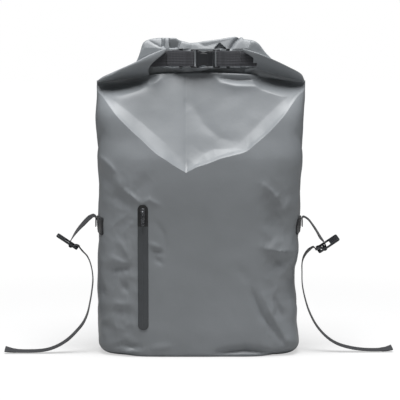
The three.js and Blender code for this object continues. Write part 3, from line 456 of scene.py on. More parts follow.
def tubeFaces(rings, count):  # quads between rings that lie one after the other, and a fan at each end
    start, last = rings * count, (rings - 1) * count
    nextTo = [(i, (i + 1) % count) for i in range(count)]
    faces = [(k + i, k + j, k + count + j, k + count + i) for k in range(0, last, count) for i, j in nextTo]
    for i, j in nextTo:
        faces += [(start, j, i), (start + 1, last + i, last + j)]
    return faces


def loftObject(name, rings, flat=None):  # rings joined to a closed form, an end fan at each end
    rings = np.asarray(rings)
    amount, count = rings.shape[:2]
    points = np.vstack([rings.reshape(-1, 3), rings[0].mean(0), rings[-1].mean(0)])
    if flat is not None:
        flat = np.asarray(flat).reshape(-1, 2)
        flat = np.vstack([flat, flat[:count].mean(0), flat[-count:].mean(0)])
    return mergedOutwards(makeObject(name, points, tubeFaces(amount, count), flat))


# A plate with rounded edges: place turns its flat x and y and its height into a point of the frame

def plateObject(name, outline, holes, thickness, bevel, place):
    curve = bpy.data.curves.new(name, "CURVE")
    curve.dimensions = "2D"
    curve.fill_mode = "BOTH"
    curve.extrude = thickness / 2 - bevel
    curve.bevel_depth = bevel
    curve.bevel_resolution = 3
    curve.offset = -bevel
    for line in (outline, *holes):
        spline = curve.splines.new("POLY")
        spline.points.add(len(line) - 1)
        spline.use_cyclic_u = True
        for point, (x, y) in zip(spline.points, line):
            point.co = (x, y, 0, 1)
    drawn = linked(name + "Drawn", curve)
    mesh = evaluatedMesh(drawn)
    bpy.data.objects.remove(drawn)
    bpy.data.curves.remove(curve)
    mesh.name = name
    piece = linked(name, mesh)
    movePoints(piece, np.array([place(*p) for p in pointsOf(piece)]))
    return sharpEdges(mergedOutwards(piece, 1e-6), 32)


def arcOf(x, y, wide, high, begin, end, steps):  # both angles in half turns
    turns = [math.pi * mix(begin, end, k / steps) for k in range(steps + 1)]
    return [(x + wide * math.cos(t), y + high * math.sin(t)) for t in turns]


def roundedBox(left, right, low, top, corner, steps=6, notch=None):
    points = []

    def bend(x, y, begin):
        for k in range(steps + 1):
            turn = begin + math.pi / 2 * k / steps
            points.append((x + corner * math.cos(turn), y + corner * math.sin(turn)))

    def dip(y, into, order):
        for t in order:
            points.append((mix(notch["begin"], notch["end"], t), y + into * notch["depth"] * 4 * t * (1 - t)))

    shares = [k / 12 for k in range(13)]
    bend(left + corner, low + corner, math.pi)
    if notch:
        dip(low, 1, shares)
    bend(right - corner, low + corner, 1.5 * math.pi)
    bend(right - corner, top - corner, 0)
    if notch:
        dip(top, -1, shares[::-1])
    bend(left + corner, top - corner, 0.5 * math.pi)
    return points


# Folds: ridges (plus) and valleys (minus) along paths given in pixels of the photo. Left and right are the
# widths in pixels on either hand of the way, soft is 1 for a sharp crest and 2 for a round one, height in mm,
# ends the share of the height that is left at both ends

def foldHeight(px, py, rows):
    height = np.zeros_like(px)
    for row in rows:
        path = np.array(row["path"], float)
        lengths = np.hypot(*np.diff(path, axis=0).T)
        near = np.full(px.shape, 1e9)
        hand = np.zeros_like(px)
        along = np.zeros_like(px)
        begun = 0.0
        for a, b, length in zip(path[:-1], path[1:], lengths):
            way = (b - a) / length
            t = np.clip((px - a[0]) * way[0] + (py - a[1]) * way[1], 0, length)
            offX, offY = px - a[0] - t * way[0], py - a[1] - t * way[1]
            off = np.hypot(offX, offY)
            closer = off < near
            near = np.where(closer, off, near)
            hand = np.where(closer, way[0] * offY - way[1] * offX, hand)
            along = np.where(closer, (begun + t) / lengths.sum(), along)
            begun += length
        width = mix(row["left"], row["right"], smooth(hand / np.maximum(near, 1e-6) / 1.2 + 0.5))
        crest = np.exp(-(np.hypot(near, 0.35) / width) ** row["soft"])
        fade = row["ends"] + (1 - row["ends"]) * np.sin(np.pi * along) ** 0.8
        height += row["height"] * mm * crest * fade
    return height


# The body: one skin from the base to the throat

body = {
    "width": 309 * mm, "depth": 150 * mm, "shoulder": 402 * mm, "throat": 414 * mm, "baseRound": 16 * mm,
    "frontRound": 5 * mm, "baseLift": 1.2 * mm, "backBend": 0.83, "bandRise": 0.085, "bandWidth": 0.030,
    "facetSlope": 0.398, "creaseRound": 1.3 * mm, "middleHalf": 0.30, "middleFade": 0.35, "roundFrom": 0.55,
    "roundFade": 0.40, "frontColumns": 232, "sideColumns": 26, "backColumns": 60,
    "baseRows": 5, "roundRows": 9, "lowerRows": 116, "upperRows": 92,
    "clothWave": 1.5 * mm, "clothWaveSize": 58 * mm, "calmAbove": 2 * mm, "calmBelow": 400 * mm,
    "crumple": 3.0 * mm, "crumpleSize": 24 * mm, "fineCrumple": 1.1 * mm, "fineCrumpleSize": 11 * mm,
    # in pixels of the photo: the middle of the front, how wide it is smooth and fades, and from which row on
    "smoothMiddle": 204, "smoothHalf": 46, "smoothFade": 30, "crumpleRow": 160, "crumpleRowFade": 40,
}

sideRows = table(
    "up left right",
    (0.00, 0.985, 0.955), (0.045, 0.996, 0.962), (0.075, 1.000, 0.952), (0.12, 1.003, 0.936),
    (0.165, 1.004, 0.942), (0.195, 1.006, 0.936), (0.225, 1.006, 0.926), (0.255, 1.005, 0.915),
    (0.285, 1.003, 0.912), (0.315, 1.000, 0.914), (0.345, 0.998, 0.934), (0.405, 0.994, 0.951),
    (0.435, 0.992, 0.954), (0.525, 0.995, 0.971), (0.60, 0.990, 0.972), (0.646, 0.984, 0.968),
    (0.706, 0.990, 0.986), (0.736, 0.995, 0.992), (0.80, 1.000, 0.994), (0.88, 1.010, 1.002),
    (0.95, 1.008, 1.012), (1.00, 1.004, 1.014),
)
depthRows = table(
    "up middle front back square",
    (0.00, 0.96, 0.96, 0.90, 4.0), (0.10, 1.00, 1.00, 0.92, 4.0), (0.30, 1.015, 1.015, 0.93, 4.0),
    (0.48, 1.03, 1.03, 0.92, 4.0), (0.66, 1.085, 1.085, 0.91, 4.1), (0.72, 1.075, 1.070, 0.89, 4.2),
    (0.80, 1.01, 0.98, 0.84, 4.2), (0.88, 0.95, 0.90, 0.70, 4.0), (0.93, 0.88, 0.77, 0.56, 3.6),
    (0.97, 0.80, 0.57, 0.42, 3.2), (1.00, 0.70, 0.39, 0.31, 2.9), (1.04, 0.50, 0.22, 0.22, 2.8),
)
creaseRows = table(
    "across up",
    (-1.000, 0.970), (-0.860, 0.912), (-0.690, 0.846), (-0.586, 0.808), (-0.420, 0.748), (-0.336, 0.726),
    (-0.232, 0.700), (-0.155, 0.683), (-0.136, 0.679), (-0.117, 0.683), (-0.030, 0.700), (0.084, 0.714),
    (0.190, 0.730), (0.295, 0.740), (0.400, 0.750), (0.447, 0.758), (0.505, 0.777), (0.605, 0.809),
    (0.750, 0.866), (0.890, 0.928), (1.000, 0.972),
)

bodyFolds = table(
    "path left right soft height ends",
    # over the zip
    (((123, 189), (132, 196), (141, 203)), 1.8, 5.0, 1.0, 4.7, 0.2),
    (((112, 195), (130, 204), (137, 208)), 7.0, 6.0, 2.0, -3.6, 0.3),
    (((141, 204), (149, 199.5), (160, 205)), 2.4, 4.0, 1.1, 2.9, 0.3),
    (((150, 178), (136, 190)), 7.0, 7.0, 2.0, -2.1, 0.4),
    # left edge
    (((98, 155), (107, 162), (116, 172)), 2.2, 5.0, 1.0, 3.9, 0.3),
    (((98, 168), (112, 184)), 6.0, 6.0, 2.0, -3.4, 0.4),
    (((112, 176), (122, 188)), 4.0, 4.0, 2.0, 2.1, 0.3),
    # left of the zip
    (((104, 266), (112, 257), (122, 262), (130, 264)), 2.4, 4.5, 1.2, 3.1, 0.2),
    (((109, 271), (129, 267)), 4.0, 5.0, 1.8, -4.7, 0.3),
    (((118, 240), (126, 252), (130, 262)), 3.5, 3.0, 1.4, 2.1, 0.3),
    (((112, 311), (131, 312)), 3.5, 4.5, 1.6, -3.9, 0.3),
    (((108, 303), (128, 304)), 3.0, 3.0, 1.6, 2.0, 0.3),
    (((121, 283), (128, 292)), 3.0, 3.0, 1.6, -3.1, 0.5),
    (((98, 284), (105, 298), (101, 318)), 3.0, 4.5, 1.3, -4.2, 0.3),
    (((101, 322), (109, 328)), 3.0, 3.0, 1.4, -3.1, 0.3),
    (((112, 324), (126, 332)), 3.5, 3.0, 1.6, 1.8, 0.3),
    # right of the zip
    (((149, 243), (161, 249)), 2.2, 3.5, 1.3, 2.5, 0.3),
    (((152, 251), (163, 253)), 3.0, 3.0, 1.8, -2.9, 0.3),
    (((155, 259), (162, 263)), 2.5, 2.5, 1.6, -2.6, 0.4),
    (((156, 222), (164, 234), (166, 250)), 3.0, 4.0, 1.5, -1.8, 0.3),
    # right side
    (((262, 183), (272, 191), (283, 206)), 2.6, 7.0, 1.0, 4.2, 0.2),
    (((265, 194), (273, 212), (282, 238)), 7.0, 9.0, 1.8, -6.0, 0.3),
    (((290, 196), (286, 214)), 5.0, 5.0, 1.6, 3.1, 0.4),
    (((263, 229), (272, 238)), 4.0, 4.0, 1.8, 1.8, 0.3),
    (((264, 249), (280, 252), (300, 252)), 9.0, 2.6, 1.0, 8.3, 0.3),
    (((273, 262), (284, 264)), 7.0, 6.0, 2.0, -6.0, 0.5),
    (((283, 275), (290, 264), (298, 250)), 2.2, 2.4, 1.0, 4.7, 0.3),
    (((286, 272), (292, 286), (296, 305)), 3.0, 4.5, 1.3, -6.5, 0.2),
    (((251, 290), (262, 316), (285, 345)), 5.0, 2.6, 1.1, -6.8, 0.2),
    (((261, 292), (273, 318), (292, 346)), 6.0, 4.0, 1.2, 4.4, 0.2),
    (((273, 296), (281, 312), (288, 324)), 3.6, 3.0, 1.3, -4.9, 0.3),
    (((238, 268), (250, 282)), 6.0, 6.0, 2.0, -1.6, 0.4),
    (((282, 338), (298, 344)), 5.0, 5.0, 1.6, 4.2, 0.4),
    # along the base
    (((112, 347.5), (122, 344.5), (143, 349)), 1.8, 1.8, 1.2, -4.2, 0.2),
    (((103, 350.5), (124, 352), (147, 350)), 1.6, 1.6, 1.2, 3.1, 0.2),
    (((150, 349), (172, 346)), 3.0, 3.0, 1.8, 1.6, 0.2),
    (((214, 353.5), (245, 350), (276, 353.5)), 3.0, 3.0, 1.6, -7.8, 0.1),
)

facetFolds = table(
    "path left right soft height ends",
    # bright bands along both arms of the V, and the light lobe right of its tip
    (((102, 92), (130, 113), (150, 130), (166, 144), (181, 163)), 24.0, 8.0, 1.2, -2.4, 0.5),
    (((238, 145), (255, 128), (275, 108), (295, 90)), 24.0, 8.0, 1.2, -2.4, 0.5),
    (((196, 165), (204, 154), (214, 149.5), (236, 149), (246, 150)), 20.0, 8.0, 1.2, -3.4, 0.4),
    # the soft middle ridge and the shallow step beside it
    (((179, 78), (181, 115), (186, 166)), 11.0, 10.0, 2.2, 2.2, 0.2),
    (((183, 101), (194, 107), (204, 124), (220, 138), (240, 142)), 18.0, 6.0, 1.5, -2.2, 0.1),
    # crescents under the right arm
    (((210, 73), (226, 74.5), (256, 74)), 2.0, 2.2, 1.2, 3.6, 0.4),
    (((213, 76), (222, 82), (236, 85.5), (262, 86)), 2.4, 5.0, 1.4, 3.4, 0.1),
    (((222, 78.5), (240, 80), (258, 80)), 2.4, 2.6, 2.0, -5.0, 0.4),
    (((262, 75), (276, 79), (302, 85)), 8.0, 7.5, 2.0, -15.0, 0.4),
    # under the left arm
    (((146, 84), (155, 82.5), (162, 77)), 2.4, 4.0, 1.2, 3.4, 0.2),
    (((97, 85), (118, 84), (147, 77)), 8.0, 8.0, 2.0, -16.0, 0.4),
)


def squareToRound(p, q, square):
    return (np.abs(p) ** square + np.abs(q) ** square) ** (-1 / square)


def bendHeight(p, q):
    crease = lookUp(creaseRows, "across", "up", p * squareToRound(p, q, 4))
    return mix(crease, body["backBend"], smooth((q + 0.3) / 1.1)) * body["shoulder"]


def rimHeight(share):
    return mix(body["throat"], body["shoulder"], np.minimum(1, np.abs(share) ** 2))


def outlinePoint(p, q, z, inset):
    up = z / body["shoulder"]
    left, right = (lookUp(sideRows, "up", side, up) for side in ("left", "right"))
    middle, front, back = (lookUp(depthRows, "up", side, up) for side in ("middle", "front", "back"))
    front = mix(middle, front, smooth((np.abs(p) - body["middleHalf"]) / body["middleFade"]))
    across = np.where(p < 0, left, right) * body["width"] / 2 - inset
    out = np.where(q < 0, front, back) * body["depth"] / 2 - inset
    share = squareToRound(p, q, lookUp(depthRows, "up", "square", up))
    return across * p * share, out * q * share


def facetLean(rise):  # how far the facet lies behind its crease
    rise = 0.5 * (rise + np.sqrt(rise ** 2 + body["creaseRound"] ** 2)) - 0.5 * body["creaseRound"]
    rise = np.maximum(rise, 0)
    band = body["bandRise"] * body["depth"] / 2 * (1 - np.exp(-rise / (body["bandWidth"] * body["shoulder"])))
    return band + body["facetSlope"] * rise


def bodyPlaces():  # points of a square round the body, from its left front corner
    front, side, back = body["frontColumns"], body["sideColumns"], body["backColumns"]
    run = [(-1 + 2 * i / front, -1) for i in range(front)]
    run += [(1, -1 + 2 * i / side) for i in range(side)]
    run += [(1 - 2 * i / back, 1) for i in range(back)]
    run += [(-1, 1 - 2 * i / side) for i in range(side)]
    return np.array(run).T


def bodyPoints():
    p, q = bodyPlaces()
    bend = bendHeight(p, q)
    rim = rimHeight(p * squareToRound(p, q, 4)) + 4 * mm
    turns = np.arange(body["roundRows"]) / body["roundRows"] * np.pi / 2
    corner = smooth((np.abs(p) - body["roundFrom"]) / body["roundFade"])
    bent = mix(body["frontRound"], body["baseRound"], corner)
    heights = [bent * (1 - math.cos(t)) for t in turns]
    insets = [bent * (1 - math.sin(t)) for t in turns]
    for k in range(body["lowerRows"] + 1):
        heights.append(mix(bent, bend, 1 - (1 - k / body["lowerRows"]) ** 1.25))
    for k in range(1, body["upperRows"] + 1):
        heights.append(mix(bend, rim, (k / body["upperRows"]) ** 1.35))
    z = np.array(heights)
    inset = np.zeros_like(z)
    inset[:len(insets)] = insets
    x, y = outlinePoint(p, q, z, inset)
    towards = smooth(-q * squareToRound(p, q, 4) * 1.6)
    atBend = outlinePoint(p, q, bend, 0)[1]
    leaning = np.maximum(y, atBend + facetLean(z - bend) * towards)
    y = np.where((q < 0) & (z > bend), leaning, y)
    points = np.stack([x, y, z], -1)
    px, py = photoPlace(points)
    aboveCrease = smooth((z - bend) / (6 * mm))
    push = foldHeight(px, py, bodyFolds) + foldHeight(px, py, facetFolds) * aboveCrease
    points[..., 1] = np.where(q < 0, np.minimum(y - push * towards, -2 * mm), y)
    return points


# Soft folds down both sides, where the photo doesn't reach: from y1, z1 to y2, z2, all in mm

sideFolds = table(
    "y1 z1 y2 z2 wide height",
    (-52, 330, 30, 250, 9, -2.6), (40, 320, -30, 236, 8, -2.2), (-40, 190, 34, 120, 9, -2.4),
    (46, 150, -10, 60, 8, -2.0), (-50, 96, 20, 40, 8, -1.8), (10, 392, 4, 300, 10, -3.0),
)


def sideCreases(points, normals):
    push = np.zeros(len(points))
    for row in sideFolds:
        a = np.array([row["y1"], row["z1"]]) * mm
        b = np.array([row["y2"], row["z2"]]) * mm - a
        off = points[:, 1:] - a
        t = np.clip(off @ b / (b @ b), 0, 1)
        away = np.linalg.norm(off - t[:, None] * b, axis=1)
        push += row["height"] * mm * np.exp(-(away / (row["wide"] * mm)) ** 1.5)
    return push * smooth(np.abs(normals[:, 0]) * 2 - 0.8)


def makeBody():
    points = bodyPoints()
    low, lift = points[0], body["baseLift"]
    middle = np.array([low[:, 0].mean(), low[:, 1].mean(), 0.0])
    base = [middle + (low - middle) * (k / body["baseRows"]) for k in range(1, body["baseRows"])]
    for k, ring in enumerate(base):
        ring[:, 2] = lift * (1 - (k + 1) / body["baseRows"]) ** 0.5
    rings = np.vstack([base, points])
    flat = np.vstack([rings.reshape(-1, 3), middle + (0, 0, lift), rings[-1].mean(0)])
    skin = makeObject("bag_skin", flat, tubeFaces(*rings.shape[:2]))
    points, normals = pointsOf(skin), normalsOf(skin)
    z, wave = points[:, 2], body["clothWaveSize"]
    calm = smooth((z - body["calmAbove"]) / (26 * mm)) * smooth((body["calmBelow"] - z) / (20 * mm))
    waves = cloud(points, wave, 3.1) + 0.45 * cloud(points, wave / 2.4, 9.7)
    front = smooth(-normals[:, 1] * 1.5)
    push = waves * body["clothWave"] * calm * mix(1.0, 0.55, front) + sideCreases(points, normals) * calm
    px, py = photoPlace(points)
    aside = smooth((np.abs(px - body["smoothMiddle"]) - body["smoothHalf"]) / body["smoothFade"])
    crumpled = front * aside * smooth((py - body["crumpleRow"]) / body["crumpleRowFade"]) * calm
    for size, height, seed in (("crumpleSize", "crumple", 4.4), ("fineCrumpleSize", "fineCrumple", 7.3)):
        push -= crumpled * np.abs(cloud(points, body[size], seed)) * body[height]
    movePoints(skin, points + normals * push[:, None])
    return rideAs(skin, "cloth", "bag", "bag_shell")


bagSkin = makeBody()
print("body skin:", len(bagSkin.data.polygons), "faces")


# The rolled mouth: the raised run with drooping ends, two arms folded forward, and the lip under the webbing

mouth = {
    "height": 54.5 * mm, "thickness": 38 * mm, "arm": 40 * mm, "runRings": 400, "runPoints": (12, 60, 14, 12),
    "runSquare": 12.0, "backFall": 0.24, "creaseDepth": 0.78 * mm, "rimLoss": 1.0, "topGuess": 45,
    "armRings": 92, "armPoints": 76, "armSquare": 2.3, "armCurl": {-1: 1.6, 1: 1.15},
    "pocketRings": 9, "pocketDepth": 20 * mm, "lipRings": 200, "lipPoints": 44, "lipTop": 426.3 * mm,
    "lipBack": 4 * mm, "lipLean": -0.36, "lipSquare": 3.0,
    "wave": 1.0 * mm, "waveSize": 40 * mm, "calmBelow": 404 * mm,
}
rollRows = table(
    "across low front back",
    (-0.995, 0.022, 0.16, 0.16), (-0.93, 0.030, 0.30, 0.36), (-0.82, 0.048, 0.34, 0.48),
    (-0.67, 0.090, 0.38, 0.54), (-0.54, 0.150, 0.42, 0.58), (-0.28, 0.205, 0.44, 0.58),
    (-0.08, 0.232, 0.44, 0.57), (0.12, 0.232, 0.44, 0.57), (0.35, 0.205, 0.43, 0.58),
    (0.55, 0.150, 0.42, 0.58), (0.72, 0.090, 0.38, 0.52), (0.82, 0.060, 0.34, 0.46),
    (0.95, 0.030, 0.28, 0.34), (1.005, 0.022, 0.16, 0.16),
)
rollTops = table(  # the run's top edge in pixels of the photo
    "across up",
    (97, 85.5), (104, 82), (118, 77), (131, 67.5), (136, 62), (139, 55), (143, 43.4), (145.5, 41.2),
    (149, 39.6), (161, 38.2), (175, 38.2), (179.5, 40.6), (184, 41.8), (191, 43.4), (197, 43.0),
    (205, 41.4), (220, 39.3), (232, 37.5), (239, 36.7), (241.5, 37.2), (244, 39.6), (252, 40.6),
    (257.5, 43.2), (265.5, 52.5), (271, 58), (276, 63), (286, 69), (298, 78), (305, 85),
)
armRows = {-1: table(
    "across ridge low front back under",
    (-1.000, 0.055, 0.022, 0.20, 0.12, 0.66), (-0.960, 0.155, 0.024, 0.60, 0.12, 0.66),
    (-0.840, 0.310, 0.030, 1.05, 0.10, 0.66), (-0.633, 0.570, 0.060, 1.22, 0.05, 0.66),
    (-0.480, 0.780, 0.140, 1.16, -0.10, 0.66), (-0.330, 0.950, 0.250, 1.02, -0.46, 0.66),
    (-0.300, 0.975, 0.300, 0.98, -0.58, 0.66),
), 1: table(
    "across ridge low front back under",
    (1.008, 0.055, 0.022, 0.20, 0.12, 0.66), (0.970, 0.255, 0.024, 0.60, 0.12, 0.66),
    (0.855, 0.440, 0.030, 1.05, 0.10, 0.74), (0.652, 0.700, 0.060, 1.22, 0.05, 0.96),
    (0.540, 0.825, 0.140, 1.16, -0.10, 1.06), (0.430, 0.925, 0.230, 1.05, -0.40, 0.86),
    (0.370, 0.980, 0.300, 0.98, -0.58, 0.74),
)}
armEnds = {  # where the arms end on the front, at heights of the mouth
    -1: table("across up", (-0.325, 0.900), (-0.497, 0.330), (-0.440, -0.100)),
    1: table("across up", (0.400, 0.920), (0.505, 0.670), (0.490, 0.400), (0.424, 0.330), (0.400, -0.100)),
}
lipRows = table(  # across and low in pixels of the photo, front in mm
    "across low front",
    (150, 68.4, -20), (158, 68.6, -24), (166, 69.4, -29), (173, 72.0, -27), (182, 71.8, -31),
    (191, 70.2, -30), (197, 71.6, -33), (201, 73.0, -30), (210, 71.2, -28), (222, 70.2, -30),
    (235, 69.8, -28), (244, 69.6, -25), (251, 67.0, -20),
)

mouthFolds = table(
    "path left right soft height ends",
    # dark curved crease behind the long ridge, and the one across the left corner
    (((240, 35), (238.5, 37.5), (234.5, 41.5), (230.5, 48)), 1.4, 1.2, 1.1, -6.5, 0.8),
    (((148, 40), (155, 44), (161, 47.3)), 1.0, 1.0, 1.1, -1.8, 0.5),
    # crumpled lip
    (((152, 67.6), (160, 66.6)), 0.9, 1.4, 1.0, 2.0, 0.4),
    (((168, 65), (165.5, 69.5)), 1.6, 1.1, 1.0, 3.4, 0.7),
    (((171, 66), (176, 71.5)), 1.6, 1.6, 1.0, -2.4, 0.5),
    (((178, 66.5), (186, 69), (193, 66)), 1.6, 2.6, 1.1, 1.8, 0.4),
    (((192, 66.2), (196.5, 67.4), (200, 64.4)), 1.0, 1.5, 1.0, 3.8, 0.6),
    (((200, 66), (204.5, 71)), 1.5, 1.5, 1.0, -3.0, 0.5),
    (((207, 66.4), (211, 69.4)), 1.8, 1.8, 1.1, 2.2, 0.5),
    (((216, 67), (226, 69.5)), 2.0, 1.4, 1.1, -1.6, 0.4),
    (((233, 65.6), (236, 69.6)), 0.9, 1.2, 1.0, 2.8, 0.6),
    (((240, 66), (246, 69)), 1.8, 1.4, 1.1, -2.0, 0.4),
    (((174, 71.5), (190, 70.6), (201, 71.8), (228, 70.2)), 1.4, 1.4, 1.2, -2.6, 0.3),
    # fronts of the arms
    (((150, 70), (158, 67.4), (168, 66)), 1.6, 1.6, 1.4, -1.8, 0.3),
    (((112, 76), (130, 70), (150, 66)), 4.0, 5.0, 1.8, -1.4, 0.3),
    (((257, 62), (272, 68), (290, 76)), 4.0, 4.0, 1.6, -1.8, 0.3),
    (((255, 70), (270, 75), (288, 81)), 3.0, 3.0, 1.6, 1.2, 0.3),
)


# Creases of the run's front: places in pixels of the photo, and how many mm each lies behind the front
rollCreases = (
    ((110, 75, 0), (300, 75, 0)),
    ((110, 28, 6), (300, 28, 6)),
    # folded left corner: a grey face, two light ones over it and the crease between them
    ((120, 58, 0), (137, 58, 0.5), (145, 47.5, 3), (163, 48.3, 1)),
    ((143, 38, 10), (145, 47.5, 3)),
    ((148.5, 39.5, 9.0), (161.3, 47.3, 1.8)),
    ((148.5, 33, 12.5), (161.3, 33, 15), (161.3, 47.3, 1.8), (163, 48.3, 1)),
    # narrow upright lens, then a light strip and a dark face
    ((162.3, 33, 9.5), (162.3, 46.5, 8), (164.1, 46.5, 8), (164.1, 33, 9.5)),
    ((165.0, 33, 10), (165.2, 48.8, 0.5)),
    ((168.6, 33, 9.5), (169.0, 48.8, 0.5)),
    ((169.7, 33, 1.0), (169.7, 48.2, 6.0), (176.5, 47.8, 5.5), (179.5, 41.5, 3.5), (177, 33, 2.0)),
    # small bump and the dip in the middle
    ((178, 48.8, 0), (181.5, 41, 6.5), (184.5, 48.8, 1)),
    ((191, 40, 6.5), (191, 48.8, 2)),
    ((192.5, 40, 8), (199, 49, 0)),
    # long ridge that rises to the right, with a recess under it
    ((199, 49, 0), (205, 46.2, 2.8), (213, 44.2, 4.4), (225, 40.8, 6.4), (236, 38, 7.8), (239, 33, 10)),
    ((204, 36, 4.6), (220, 34, 7)),
    ((214.2, 48.7, 9), (219.5, 44.2, 9), (225.8, 48.7, 9)),
    ((213.2, 49, 0), (219.5, 42.9, 5.2), (226.9, 49, 0)),
    # right end: a light face, then a grey one
    ((230, 49, 0), (239, 37, 8.5)),
    ((243.5, 33, 15), (252.5, 36, 11), (247, 48.6, 0)),
    ((253.4, 36, 6), (247.8, 48.9, 0.2)),
    ((259, 37, 5), (266, 52, 3), (272, 58, 2), (290, 58, 0)),
)


def faceted(px, py, creases):  # flat faces between the creases
    corners = [corner for crease in creases for corner in crease]
    edges, first = [], 0
    for crease in creases:
        edges += [(first + i, first + i + 1) for i in range(len(crease) - 1)]
        first += len(crease)
    flat = [Vector(corner[:2]) for corner in corners]
    made, unused, faces, given = geometry.delaunay_2d_cdt(flat, edges, [], 0, 1e-4)[:4]
    result = np.zeros_like(px)
    for face in faces:
        (ax, ay), (bx, by), (cx, cy) = (made[i] for i in face)
        first, second, third = (corners[given[i][0]][2] for i in face)
        area = (bx - ax) * (cy - ay) - (cx - ax) * (by - ay)
        u = ((px - ax) * (cy - ay) - (cx - ax) * (py - ay)) / area
        v = ((bx - ax) * (py - ay) - (px - ax) * (by - ay)) / area
        inside = (u >= -1e-6) & (v >= -1e-6) & (u + v <= 1 + 1e-6)
        result = np.where(inside, first + u * (second - first) + v * (third - first), result)
    return result


def rollFloor(across):
    return rimHeight(np.minimum(1, np.abs(across))) + seamGap


def sectionPoints(turn, near, far, low, top, lean, square):
    c, s = np.cos(turn), np.sin(turn)
    share = squareToRound(c, s, square)
    up = s * share
    y = (near + far) / 2 + c * share * (far - near) / 2 + lean * up * (far - near)
    return y, (low + top) / 2 + up * (top - low) / 2


# The section of an arm: a crest that stands forward, over a face that draws back below it

def armSection(turn, near, far, low, top, under, curl):
    c, s = np.cos(turn), np.sin(turn)
    share = squareToRound(c, s, mouth["armSquare"])
    deep, up = (c * share + 1) / 2, s * share
    tall = smooth((top - low - 4 * mm) / (14 * mm))
    narrow = 1 - 0.66 * tall * np.maximum(up, 0) ** 1.6
    undercut = under * tall * (far - near) * ((1 - up) / 2) ** curl * (1 - deep)
    return near + deep * narrow * (far - near) + undercut, (low + top) / 2 + up * (top - low) / 2


def rollRun():
    across = np.linspace(rollRows[0]["across"], rollRows[-1]["across"], mouth["runRings"])[:, None]
    quarters = [np.linspace(k, k + 1, amount, endpoint=False) for k, amount in enumerate(mouth["runPoints"])]
    turn = np.concatenate(quarters)[None, :] * np.pi / 2
    at = {key: lookUp(rollRows, "across", key, across) for key in ("low", "front", "back")}
    low = np.maximum(rollFloor(across), body["shoulder"] + at["low"] * mouth["height"])
    near, far = -at["front"] * mouth["thickness"], at["back"] * mouth["thickness"]
    edge = near
    for again in range(4):  # the top edge of the front is the one that the photo shows
        x = across * body["width"] / 2
        px, py = photoPlace(np.stack([x, edge, placeOf(0, mouth["topGuess"], edge)[1]], -1))
        py = lookUp(rollTops, "across", "up", px) - mouth["rimLoss"]
        top = np.maximum(low + 2 * mm, placeOf(px, py, edge)[1])
        tall = smooth((top - low - 8 * mm) / (24 * mm))
        edge = np.minimum(near + faceted(px, py, rollCreases) * mouth["creaseDepth"] * tall, far - 5 * mm)
    straight, z = sectionPoints(turn, near, far, low, top, 0, mouth["runSquare"])
    share = (straight - near) / (far - near)
    x = np.broadcast_to(x, share.shape)
    y = straight
    for again in range(4):
        px, py = photoPlace(np.stack([x, y, z], -1))
        behind = faceted(px, py, rollCreases) * mouth["creaseDepth"] * tall
        y = mix(np.minimum(near + behind, far - 5 * mm), far, share)
    z = z - mouth["backFall"] * tall * share * smooth((z - low) / (top - low) * 2 - 1) * (far - near)
    return loftObject("rollRun", np.stack([x, y, z], -1))


def rollArm(side):
    rows, ends, curl = armRows[side], armEnds[side], mouth["armCurl"][side]
    first, last = rows[0]["across"], rows[-1]["across"]
    t = np.linspace(0, 1, mouth["armRings"])[:, None]
    turn = np.linspace(0, 2 * np.pi, mouth["armPoints"], endpoint=False)[None, :]
    across = np.broadcast_to(mix(first, last, t), (mouth["armRings"], mouth["armPoints"]))
    for again in range(8):  # the arm ends where its end table says, at each point's own height
        at = {key: lookUp(rows, "across", key, across) for key in ("ridge", "low", "front", "back", "under")}
        low = np.maximum(rollFloor(across), body["shoulder"] + at["low"] * mouth["height"])
        top = np.maximum(low + 1.5 * mm, body["shoulder"] + at["ridge"] * mouth["height"])
        near, far = -at["front"] * mouth["arm"], at["back"] * mouth["arm"]
        y, z = armSection(turn, near, far, low, top, at["under"], curl)
        up = (z - body["shoulder"]) / mouth["height"]
        across = mix(first, lookUp(ends, "up", "across", up), t)
    rings = list(np.stack([across * body["width"] / 2, y, z], -1))
    rim = rings[-1]
    heart = rim.mean(0)
    inner = 1.8 * mm  # the pocket that the webbing comes out of
    for k in range(1, mouth["pocketRings"] + 1):
        share = k / mouth["pocketRings"]
        ring = heart + (rim - heart) * mix(0.90, 0.52, share)
        ring[:, 0] = rim[:, 0] + side * (mouth["pocketDepth"] * share - inner)
        rings.append(ring)
    if side > 0:
        rings = [ring[::-1] for ring in rings]
    return loftObject(f"arm_{handOf[side]}", np.array(rings))


def rollLip():
    px = np.linspace(lipRows[0]["across"], lipRows[-1]["across"], mouth["lipRings"])
    turn = np.linspace(0, 2 * np.pi, mouth["lipPoints"], endpoint=False)
    rings = []
    for place in px:
        front = lookUp(lipRows, "across", "front", place) * mm
        x, low = placeOf(place, lookUp(lipRows, "across", "low", place), front)
        y, z = sectionPoints(turn, front + 8 * mm, mouth["lipBack"], low, mouth["lipTop"], mouth["lipLean"],
                             mouth["lipSquare"])
        rings.append(np.stack([np.full_like(y, x), y, z], -1))
    return loftObject("rollLip", rings)


def unite(piece, other):
    cut = piece.modifiers.new("unite", "BOOLEAN")
    cut.operation, cut.solver, cut.object = "UNION", "MANIFOLD", other
    applied(piece)
    bpy.data.objects.remove(other)
    return piece


